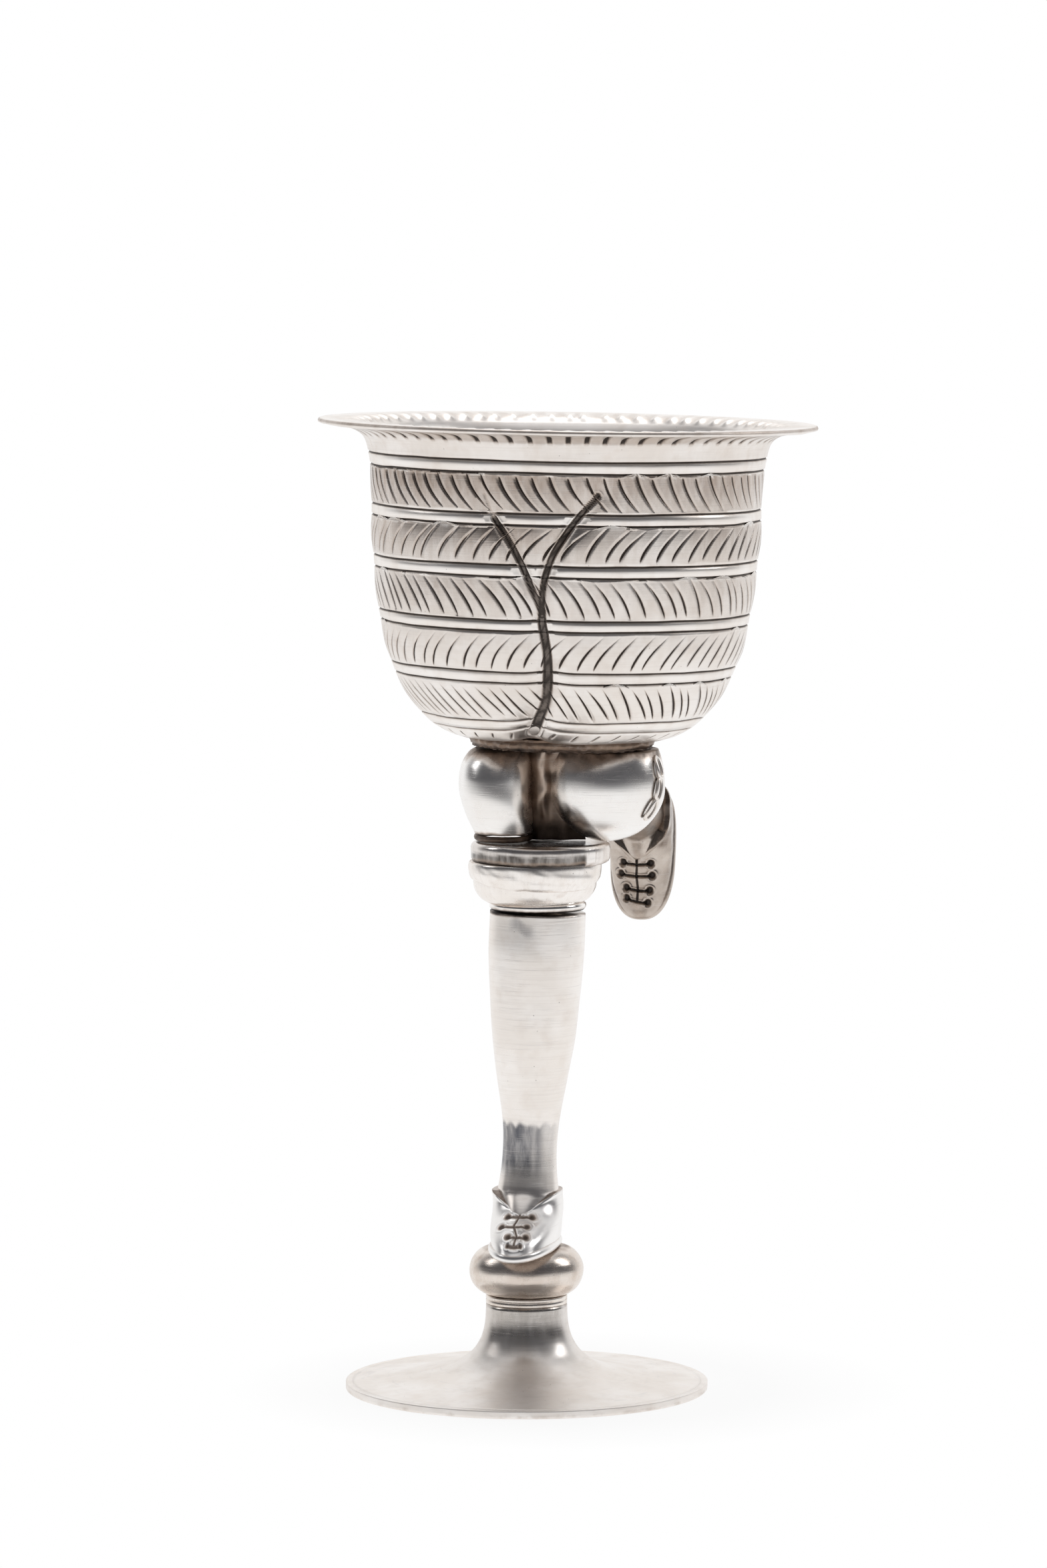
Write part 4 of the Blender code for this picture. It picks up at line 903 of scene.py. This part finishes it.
bowlLook = {
    "rise": 1.3, "columns": 576, "seed": 17,
    "outside": [(44.42, 55.66), (42.3, 55.53), (40.2, 55.3), (38.6, 54.9), (37.3, 54.2), (36.45, 53.2),
                (35.95, 51.9), (35.68, 50.6), (35.25, 48.35), (34.9, 43.6), (34.75, 36.6), (34.35, 31.65),
                (33.85, 26.85), (33.1, 22.05), (32.2, 17.3), (31.45, 14.85), (30.5, 12.45), (29.4, 10.05),
                (28.0, 7.65), (26.3, 5.3), (24.2, 3.1), (21.9, 1.5), (19.6, 0.5), (17.2, 0.05), (12.0, 0.0),
                (0.05, 0.0)],
    "rim": [(43.6, 56.6), (44.3, 56.6), (44.6, 56.42), (44.68, 56.12), (44.62, 55.85), (44.42, 55.66)],
    "rimTop": 56.55, "innerRows": 44, "innerColumns": 144,
    "inside": [(0.05, 1.0), (12.0, 1.0), (17.0, 1.15), (19.4, 1.75), (21.6, 2.85), (23.6, 4.35), (25.5, 6.3),
               (27.1, 8.4), (28.45, 10.7), (29.5, 12.95), (30.45, 15.25), (31.2, 17.6), (32.1, 22.25),
               (32.85, 27.0), (33.35, 31.8), (33.75, 36.7), (33.9, 43.6), (34.25, 48.6), (34.7, 51.0),
               (35.1, 52.6), (35.75, 54.0), (36.75, 55.15), (38.2, 55.95), (40.1, 56.35), (42.0, 56.52),
               (43.6, 56.6)],
    # radius and strength of the rows of the flare's punch marks
    "punch": [(43.9, 0.0), (43.4, 0.0), (42.7, 0.15), (41.7, 0.7), (40.6, 1.0), (39.6, 1.0), (38.8, 1.0),
              (38.1, 1.0), (37.6, 0.95), (37.2, 0.7), (36.9, 0.2), (36.6, 0.0)],
    "lines": [(50.78, 48.68), (41.63, 39.60), (32.51, 30.49), (22.84, 20.94), (13.51, 11.56), (4.38, 2.58)],
    # across a line: offset, lift and tarnish; for each kind of mark: depth, lift and tarnish of five columns
    "lineRows": ((-0.29, 0.07, 0.1), (-0.1, -0.75, 0.95), (0.08, -1.0, 1.0), (0.3, 0.05, 0.1)),
    "punchMark": (0.45, (0.1, -0.75, -1.0, -0.7, 0.12), (0.1, 1.0, 1.0, 0.9, 0.1)),
    "strokeMark": (0.28, (0.05, -0.75, -1.0, -0.65, 0.1), (0.2, 1.0, 1.0, 1.0, 0.12)),
    "shortMark": (0.2, (0.1, -0.6, -1.0, -0.5, 0.1), (0.1, 0.8, 1.0, 0.8, 0.1)),
    "lineDepth": 0.26, "punchHalf": 0.64, "strokeHalf": 0.3, "shortHalf": 0.28, "pillow": 0.13,
    # columns to a small mark, angle of the first one, plain rows under the flare, height and run of the
    # short strokes, rows of the flat bottom measured from its middle, largest radius of the raised marks
    "markColumns": 8, "turnStart": -0.9, "neckRows": (53.0, 52.2, 51.5), "shortRun": (2.05, 1.35),
    "bottomRows": (18.4, 16.5, 14.5), "raisedOut": 42.4,
    # brown film on the flare, and on each row of strokes a brown film that is partly painted shade
    "flareFilm": 0.2, "filmAndShadeShare": (1.0, 0.75, 0.5, 0.25, 0.14),
    # rows of strokes: columns to each stroke, run sideways, first and second weight of the curve, swell
    # (0 for a blunt start), gaps to the lines above and below
    "bands": [(8, 4.1, 0.35, 0.65, 0.0, 0.25, 0.4), (9, -4.9, 1.7, -0.7, 2.0, 0.2, 0.6),
              (8, 4.2, 1.5, -0.5, 1.6, 0.25, 0.3), (9, -4.5, 1.7, -0.7, 1.9, 0.5, 0.35),
              (8, 4.6, 1.1, -0.1, 1.4, 0.4, 0.4)],
    "strokeSteps": (0.0, 0.06, 0.16, 0.29, 0.43, 0.57, 0.71, 0.84, 0.94, 1.0),
}
creaseLook = {
    "left": [(-14.6, 45.0), (-12.95, 40.9), (-10.34, 37.2), (-8.32, 33.45), (-6.58, 29.7), (-4.9, 25.8),
             (-4.3, 23.6)],
    "right": [(5.26, 45.1), (1.79, 41.05), (-0.51, 37.85), (-2.53, 34.4), (-3.9, 30.3), (-4.35, 26.8),
              (-4.3, 24.2)],
    "stem": [(-4.3, 24.6), (-4.2, 22.1), (-3.3, 17.6), (-3.05, 13.0), (-3.1, 9.5), (-3.5, 7.1), (-4.4, 4.6),
             (-5.3, 1.5)],
    "segment": 3.2,
    # half width at the start and end, dent's depth at the start and end, dent's half width, faint start
    "branches": [("left", 0.48, 0.56, 0.15, 0.5, 1.9, 0.15), ("right", 0.5, 0.6, 0.3, 0.8, 2.1, 0.0),
                 ("stem", 0.72, 1.0, 0.75, 1.25, 2.9, 0.0)],
}


sheetRadius = 35.0   # the bowl's outside is laid out flat at this scale
farOff = 99.0        # stands for no crease nearby


def densePath(points):
    # x, z and distance along the crease
    fine, far = smoothRun(points)
    at = np.arange(0.0, far[-1], 0.08)
    return np.stack([np.interp(at, far, fine[:, 0]), np.interp(at, far, fine[:, 1]), at], 1)


def creaseRelief(x, z, look):
    # the chased Y: dent round it, rope of punch marks in it, how dark it is with painted shade and
    # highlight, how near it is
    dent, rope, dark = np.zeros((3, len(x)))
    near = np.full(len(x), farOff)
    for name, halfLow, halfHigh, dentLow, dentHigh, dentHalf, faint in look["branches"]:
        path = densePath(look[name])
        low, high = path.min(0) - 8, path.max(0) + 8
        pick = np.nonzero((x > low[0]) & (x < high[0]) & (z > low[1]) & (z < high[1]))[0]
        for part in np.array_split(pick, max(1, len(pick) // 4000)):
            dx = x[part, None] - path[:, 0]
            gap = dx ** 2 + (z[part, None] - path[:, 1]) ** 2
            best = gap.argmin(1)
            here = (np.arange(len(part)), best)
            away = np.sqrt(gap[here])
            along = path[best, 2] / path[-1, 2]
            begun = easeIn(along, faint, faint + 0.05) if faint else np.ones(len(part))
            half = (halfLow + (halfHigh - halfLow) * along) * (0.5 + 0.5 * begun)
            deep = (dentLow + (dentHigh - dentLow) * along) * hump(away, 0.0, dentHalf)
            dent[part] = np.maximum(dent[part], deep)
            # boat-shaped punch marks one behind the other on a flat floor
            beat = (path[best, 2] / look["segment"] + 0.3 * np.sign(dx[here]) * away / half) % 1.0
            boat = np.sin(math.pi * beat) ** 0.5
            floor = easeOut(away / half, 0.75, 1.2)
            depth = floor * (0.3 + 0.1 * boat * (1.0 - away / half)) * (0.35 + 0.65 * begun)
            lip = 0.08 * hump(away, half * 1.35, 0.2) * begun
            rope[part] = np.where(away < near[part], depth - lip, rope[part])
            # each mark's middle is left lighter, a painted highlight; the shadow beside the rope is painted
            # shade in the dent
            grey = floor * (1.0 - 0.22 * boat * (away / half < 0.5)) * (0.3 + 0.7 * begun)
            shadow = 0.16 * easeIn(along, 0.1, 0.5) * hump(away, half, 0.55 * dentHalf)
            dark[part] = np.maximum.reduce([dark[part], grey, shadow])
            near[part] = np.minimum(near[part], away)
    return dent, rope, dark, near


def spreadOver(values, half, columns, closing=0.0):
    # five columns across each mark, the others spread evenly up to the next mark
    after = np.append(values[1:], values[0] + closing) - np.append(half[1:], half[0])
    share = np.arange(1, columns - 4) / (columns - 4)
    across = values[:, None] + np.array([-1.0, -0.5, 0.0, 0.5, 1.0]) * half[:, None]
    return np.hstack([across, (values + half)[:, None] * (1 - share) + after[:, None] * share])


def farAt(outer, outerFar, z):
    # how far down the outside a height lies, from the rim
    rising = np.concatenate([[True], np.diff(outer[::-1, 1]) > 1e-9])
    return np.interp(z, outer[::-1, 1][rising], outerFar[::-1][rising])


def onOutside(outer, outerFar, far):
    # radius, height and outward direction there
    steps = (0.0, -0.05, 0.05)
    (r, r0, r1), (z, z0, z1) = [[np.interp(far + s, outerFar, column) for s in steps] for column in outer.T]
    size = np.hypot(r1 - r0, z1 - z0) + 1e-12
    return r, z, (z0 - z1) / size, (r1 - r0) / size


def chasedRows(look, outer, outerFar):
    # the outside laid out flat: distance from the rim, angle, lift and tarnish of each column of each row
    columns = look["columns"]
    dice = np.random.default_rng(look["seed"])
    even = turnsOf(columns)
    shift = look["turnStart"]
    rows = []

    def addRow(far, angle, lift=0.0, dark=0.0):
        rows.append(np.stack([np.zeros(columns) + np.reshape(v, -1) for v in (far, angle, lift, dark)], 1))

    def addMarks(far, angle, mark, power, shade, strength):
        # a row of marks, each five columns wide
        depth, profile, tones = look[mark]
        lift, dark = np.zeros((2, *angle.shape))
        lift[:, :5] = np.outer(strength, profile) * depth * power
        dark[:, :5] = np.reshape(shade, (-1, 1)) * np.array(tones)
        addRow(far, angle, lift, dark)

    def down(z):
        return farAt(outer, outerFar, z)

    def radiusAt(z):
        return float(np.interp(down(z), outerFar, outer[:, 0]))

    def startsOf(group, spread=0.0):
        count = columns // group
        starts = tau * (group * np.arange(count) + 2) / columns + shift
        return count, starts + (dice.normal(0, spread, count) if spread else 0.0)

    # flare with its row of slanted punch marks
    few = look["markColumns"]
    count, centres = startsOf(few, 0.005)
    strength = dice.uniform(0.7, 1.2, count)
    order = np.argsort(outer[:, 0])
    rimRows = []
    for radius, power in look["punch"]:
        angle = spreadOver(centres, np.full(count, look["punchHalf"] / radius), few, tau)
        far = np.interp(radius, outer[order, 0], outerFar[order])
        addMarks(far, angle, "punchMark", power, min(1.0, power * 1.3), strength)
        rimRows.append((radius, angle.reshape(-1), power))
    for z in look["neckRows"]:
        addRow(down(z), even + shift)

    # pairs of chased lines with a row of strokes under each pair
    for index, pair in enumerate(look["lines"]):
        around = even + shift
        for j, z in enumerate(pair):
            seed = 200 + 2 * index + j
            wander = 0.1 * wave(around, seed, 2, 12) + 0.03 * wave(around, seed + 40, 14, 60)
            # the line was punched in runs that don't quite meet
            breaks = np.sort(dice.uniform(0, tau, 9))
            place = np.searchsorted(breaks, around % tau) % 9
            before = np.roll(breaks, 1)[place]
            share = ((around % tau - before) % tau) / ((breaks[place] - before) % tau)
            wander = wander + (share - 0.5) * dice.uniform(-0.14, 0.14, 9)[place]
            wander = sum(np.roll(wander, k) for k in range(-4, 5)) / 9.0
            power = 1.0 + 0.22 * wave(around, seed + 80, 3, 30)
            for off, f, d in look["lineRows"]:
                addRow(down(z + wander) + off, around, look["lineDepth"] * f * power, d)
            if j == 0:
                addRow(down((pair[0] + pair[1]) / 2), around)
        if index == len(look["bands"]):
            break
        group, run, bend, bendMore, swell, highGap, lowGap = look["bands"][index]
        zHigh, zLow = pair[1], look["lines"][index + 1][0]
        radius = radiusAt((zHigh + zLow) / 2)
        count, start = startsOf(group, 0.0065)
        sideways = run / radius * (1.0 + dice.normal(0, 0.06, count))
        head = zHigh - highGap - np.abs(dice.normal(0, 0.18, count))
        head = head + 0.9 * (dice.uniform(0, 1, count) > 0.93)
        foot = zLow + lowGap + np.abs(dice.normal(0, 0.2, count))
        strength = dice.uniform(0.75, 1.15, count)
        half = look["strokeHalf"] / radius * dice.uniform(0.85, 1.15, count)
        for t in look["strokeSteps"]:
            power = min(1.0, 0.2 + t / 0.12) * (1.0 - t) ** 0.5
            if swell:
                power = math.sin(math.pi * t ** swell) ** 0.75
            power *= 0 < t < 1
            across = start + sideways * (bend * t + bendMore * t * t)
            angle = spreadOver(across, half * (0.3 + 0.7 * power), group, tau)
            z = spreadOver(head + (foot - head) * t, 0.0 * head, group)
            addMarks(down(z), angle, "strokeMark", power, min(1.0, power * 1.6), strength)
        shift += run / radius

    # short strokes under the last pair, then the flat bottom
    count, start = startsOf(few)
    high, deep = look["shortRun"]
    picked = (np.arange(count) % 2 == 0) * dice.uniform(0.5, 1.1, count)
    for t, power in ((0.0, 0.0), (0.15, 0.8), (0.5, 1.0), (0.8, 0.6), (1.0, 0.0)):
        z = high - deep * t
        angle = spreadOver(start - 0.06 * t, np.full(count, look["shortHalf"] / radiusAt(z)), few, tau)
        addMarks(down(z), angle, "shortMark", power, power * (picked > 0), picked)
    for up in look["bottomRows"]:
        addRow(outerFar[-1] - up, even + shift, 0.0, 0.6)
    return np.array(rows), rimRows


def refinedSheet(flat, outer, outerFar, crease):
    # the flat sheet, with finer faces along the crease: its points, their tarnish and its faces
    form = bmesh.new()
    shadeLayer = form.verts.layers.float.new("tarnishAndShade")
    wide = np.concatenate([flat, flat[:, :1]], 1)
    wide[:, -1, 1] += tau
    made = []
    for row in wide:
        made.append([])
        for far, angle, lift, dark in row:
            made[-1].append(form.verts.new((angle * sheetRadius, -far, lift)))
            made[-1][-1][shadeLayer] = dark
    path = np.vstack([densePath(crease[name])[:, :2] for name in ("left", "right", "stem")])
    radius, height, _, _ = onOutside(outer, outerFar, wide[..., 0])
    plan = circled(radius, wide[..., 1], height)
    middle = (plan[:-1, :-1] + plan[1:, 1:]) / 2
    fine = (middle[..., 1] < -15) & (np.abs(middle[..., 0] + 4) < 16) & (middle[..., 2] < 48)
    spots = middle[fine][:, None]
    fine[fine] = np.hypot(path[:, 0] - spots[..., 0], path[:, 1] - spots[..., 2]).min(1) < 1.6
    edges = {}
    for i in range(fine.shape[0]):
        for j in range(fine.shape[1]):
            face = form.faces.new((made[i][j], made[i + 1][j], made[i + 1][j + 1], made[i][j + 1]))
            if fine[i, j]:
                edges.update(dict.fromkeys(face.edges))
    bmesh.ops.subdivide_edges(form, edges=list(edges), cuts=2, use_grid_fill=True)
    bmesh.ops.triangulate(form, faces=[face for face in form.faces if len(face.verts) > 4])
    form.verts.index_update()
    sheet = np.array([vert.co[:] for vert in form.verts])
    dark = np.array([vert[shadeLayer] for vert in form.verts])
    faces = [[vert.index for vert in face.verts] for face in form.faces]
    form.free()
    return sheet, dark, faces


def bentSheet(look, crease, sheet, dark, outer, outerFar):
    # the sheet bent round, with the crease pressed in and a brown film on the rows of strokes, partly
    # painted shade
    far, angle, lift = -sheet[:, 1], sheet[:, 0] / sheetRadius, sheet[:, 2]
    r, z, nr, nz = onOutside(outer, outerFar, far)
    bent = circled(r, angle, z)
    x = bent[:, 0]
    frontal = (bent[:, 1] < -8) & (z < 54) & (far < outerFar[-1] - 12)
    relief = np.tile([[0.0], [0.0], [0.0], [farOff]], len(x))
    relief[:, frontal] = creaseRelief(x[frontal], z[frontal], crease)
    dent, rope, creaseDark, near = relief
    fade = easeIn(near, 0.35, 1.1)
    lift = lift * (0.35 + 0.65 * fade) - dent - rope + 0.05 * softDents(bent, 301, 9.0)
    dark = np.maximum(dark * (0.5 + 0.5 * fade), creaseDark)
    film = look["flareFilm"] * easeIn(z, 50.0, 51.5) * (0.8 + 0.3 * wave(angle, 331, 2, 14))
    # on the rows the film is partly painted shade and reflection: stronger on the left, in the upper rows
    # and towards the top of each row
    left = 0.62 + 0.38 * easeOut(x, -16.0, 22.0) + 0.25 * bump((x - 28.0) / 8.0)
    for index, weight in enumerate(look["filmAndShadeShare"]):
        high, low = look["lines"][index][1] - 0.3, look["lines"][index + 1][0] + 0.3
        share = (z - low) / (high - low)
        within = (share > 0) & (share < 1)
        lift = lift + within * look["pillow"] * 4.0 * share * (1.0 - share)
        patchy = weight * (0.9 + 0.2 * wave(angle, 320 + index)) * (0.6 + 0.4 * easeIn(share, -0.1, 0.9))
        film = np.maximum(film, within * patchy * left)
    sway = 0.09 * wave(angle, 305, 2, 6) * easeIn(z + lift * nz, 20, 56)
    z = z + lift * nz
    return circled(r + lift * nr + sway, angle, z + 0.5 * sway * easeIn(z, 40, 56)), dark, film


def rimOf(look, rimRows):
    # the flare's upper side with its raised punch marks, and the rolled rim
    columns, few = look["columns"], look["markColumns"]
    inner = smoothRun(look["inside"])[0]
    order = np.argsort(inner[:, 0])
    grids, shades = [], []
    for radius, angle, power in rimRows[::-1]:
        if radius < look["raisedOut"]:
            bulge = np.array([0.21, 0.378, 0.42, 0.378, 0.21, 0.04, 0.0, 0.04]) * power
            z = np.interp(radius, inner[order, 0], inner[order, 1]) + np.tile(bulge, columns // few)
            grids.append(circled(radius, angle, np.minimum(z, look["rimTop"])))
            dark = np.array([0.07, 0.0, 0.0, 0.0, 0.07, 0.21, 0.245, 0.21]) * power
            shades.append(np.tile(dark, columns // few))
    for k, (radius, z) in enumerate(smoothRun(look["rim"], 7)[:-1]):
        grids.append(circled(radius, rimRows[0][1], z))
        shades.append(np.full(columns, 0.45 if k in (3, 4) else 0.05))
    return np.array(grids), np.array(shades)


def insideOf(look, crease, angles):
    # the bowl's inside, pushed in behind the crease
    inner = smoothRun(look["inside"])[0]
    part = inner[(inner[:, 0] < 36.6) & (inner[:, 0] > 0.2)]
    part = smoothRun(part[::12], look["innerRows"])
    grid = circled(part[:, :1], angles, part[:, 1:])
    push = np.zeros(grid.shape[:2])
    front = grid[..., 1] < -8
    push[front] = creaseRelief(grid[front][:, 0] * 1.03, grid[front][:, 2], crease)[0]
    way = grid * np.array([1, 1, 0.0])
    way = way / np.maximum(np.linalg.norm(way, axis=2, keepdims=True), 1e-6)
    return grid - way * (push * easeIn(grid[..., 2], 2, 6))[..., None]


def buildBowl(look, crease):
    columns, coarse = look["columns"], look["innerColumns"]
    outer, outerFar = smoothRun(look["outside"])
    flat, rimRows = chasedRows(look, outer, outerFar)
    sheet, dark, sheetFaces = refinedSheet(flat, outer, outerFar, crease)
    outside, dark, film = bentSheet(look, crease, sheet, dark, outer, outerFar)
    rim, rimDark = rimOf(look, rimRows)
    inside = insideOf(look, crease, rimRows[-1][1].reshape(coarse, -1)[:, 0])

    rimStart = inside.shape[0] * coarse
    outStart = rimStart + rim.shape[0] * columns
    pole = outStart + len(outside)
    faces = gridFaces(inside.shape) + gridFaces(rim.shape, rimStart)
    # the inside has one column to four of the rim
    top = rimStart - coarse
    for i in range(coarse):
        j = (i + 1) % coarse
        ring = [rimStart + (4 * i + k) % columns for k in range(5)]
        faces += [[top + i] + ring + [top + j], [pole, i, j]]
    # the first outside row follows the rim's last row, and the last one closes at the bottom
    lastRim, lastRow = outStart - columns, outStart + (len(flat) - 1) * (columns + 1)
    for j in range(columns):
        faces.append([lastRim + j, outStart + j, outStart + j + 1, lastRim + (j + 1) % columns])
        faces.append([pole + 1, lastRow + j + 1, lastRow + j])
    faces += [[outStart + v for v in face] for face in sheetFaces]
    points = np.vstack([inside.reshape(-1, 3), rim.reshape(-1, 3), outside,
                        [[0, 0, inside[0, :, 2].mean()], [0, 0, 0.0]]])
    shade = np.concatenate([np.full(rimStart, 0.04), rimDark.reshape(-1), dark, [0.05, 0.6]])
    veil = np.concatenate([np.zeros(outStart), film, [0.0, 0.0]])
    points = stoodUp(points, look["rise"])
    piece = addPiece("chasedBowl", points, faces, "chasedSilver", ["bowl"], "bright_silver", shade, veil)
    # the sheet's two ends are joined
    join = bmesh.new()
    join.from_mesh(piece.data)
    bmesh.ops.remove_doubles(join, verts=join.verts, dist=0.000002)
    join.to_mesh(piece.data)
    join.free()
    print("bowl triangles", sum(len(face.vertices) - 2 for face in piece.data.polygons))


buildSeat(seatLook)
buildBowl(bowlLook, creaseLook)
print("bowl built")


stageLook = {
    "floorRadius": 0.6, "floorTone": 0.92, "shadowShare": 0.1, "floorGlow": 0.92,
    # tones of the room: low down all round, above eye level in front, behind, overhead
    "lowTone": (0.92, 0.92, 0.92), "highTone": (0.085, 0.085, 0.092),
    "backTone": (0.97, 0.97, 0.97), "topTone": (0.78, 0.78, 0.79),
    # name, place, size, power
    "lamps": [("leftBox", (-0.8, 0.12, 0.62), (0.24, 0.36), 0.6),
              ("rightBox", (0.8, 0.12, 0.62), (0.3, 0.4), 1.5),
              ("topBox", (0.05, 0.3, 1.0), (0.5, 0.4), 1.4)],
    "lampAim": (0.0, 0.0, 0.1),
}
cameraLook = {"place": (-0.00796, -1.2706, 0.22407), "tilt": 84.851, "lens": 163.23}


def buildCamera(look):
    camera = bpy.data.objects.new("camera", bpy.data.cameras.new("camera"))
    bpy.context.scene.collection.objects.link(camera)
    camera.location = look["place"]
    camera.rotation_euler = (math.radians(look["tilt"]), 0.0, 0.0)
    camera.data.sensor_width = 36.0
    camera.data.lens = look["lens"]
    camera.data.clip_start = 0.05
    bpy.context.scene.camera = camera


def emptied(owner, kind):
    # the owner's node tree with nothing but its output
    owner.use_nodes = True
    nodes = owner.node_tree.nodes
    nodes.clear()
    return owner.node_tree, nodes.new("ShaderNodeOutput" + kind).inputs["Surface"]


def buildFloor(look):
    bpy.ops.mesh.primitive_circle_add(vertices=128, radius=look["floorRadius"], fill_type="NGON",
                                      location=(0, 0, 0))
    floor = bpy.context.object
    floor.name = "floor"
    paint = bpy.data.materials.new("floorPaint")
    tree, surface = emptied(paint, "Material")
    tone = look["floorTone"]
    body = addNode(tree, "BsdfDiffuse", {"Color": (tone, tone, tone, 1.0)})
    glow = addNode(tree, "Emission", {"Color": (1.0, 1.0, 1.0, 1.0), "Strength": 1.0})
    rays = tree.nodes.new("ShaderNodeLightPath").outputs
    away = lengthOf(tree, addNode(tree, "TexCoord", output="Object"))
    near = ramp(tree, away, 0.036, 0.062, 1.0 - look["shadowShare"])
    seen = calc(tree, "MULTIPLY", rays["Is Camera Ray"], near)
    mirrored = calc(tree, "MULTIPLY", rays["Is Glossy Ray"], look["floorGlow"])
    blend = {0: calc(tree, "MAXIMUM", seen, mirrored), 1: body, 2: glow}
    tree.links.new(addNode(tree, "MixShader", blend), surface)
    floor.data.materials.append(paint)


def buildRoom(look):
    scene = bpy.context.scene
    scene.view_settings.view_transform = "Standard"
    scene.world = bpy.data.worlds.new("studio")
    tree, surface = emptied(scene.world, "World")
    around = {0: addNode(tree, "TexCoord", output="Generated")}
    facing, height = [addNode(tree, "SeparateXYZ", around, axis) for axis in ("Y", "Z")]
    # pale low down all round, dark above eye level in front and at the sides, white behind
    tone = mixColour(tree, ramp(tree, height, -0.1, 0.1), look["lowTone"], look["highTone"])
    tone = mixColour(tree, ramp(tree, facing, 0.35, 0.7), tone, look["backTone"])
    tone = mixColour(tree, ramp(tree, height, 0.72, 0.9), tone, look["topTone"])
    room = addNode(tree, "Background", {"Color": tone, "Strength": 1.0})
    white = addNode(tree, "Background", {"Color": (1, 1, 1, 1), "Strength": 1.0})
    seen = addNode(tree, "LightPath", output="Is Camera Ray")
    tree.links.new(addNode(tree, "MixShader", {0: seen, 1: room, 2: white}), surface)
    for name, spot, size, power in look["lamps"]:
        lamp = bpy.data.lights.new(name, "AREA")
        lamp.shape = "RECTANGLE"
        lamp.size, lamp.size_y = size
        lamp.energy = power
        holder = bpy.data.objects.new(name, lamp)
        scene.collection.objects.link(holder)
        holder.location = spot
        holder.rotation_euler = (Vector(look["lampAim"]) - Vector(spot)).to_track_quat("-Z", "Y").to_euler()


buildCamera(cameraLook)
buildFloor(stageLook)
buildRoom(stageLook)
print("stage set")
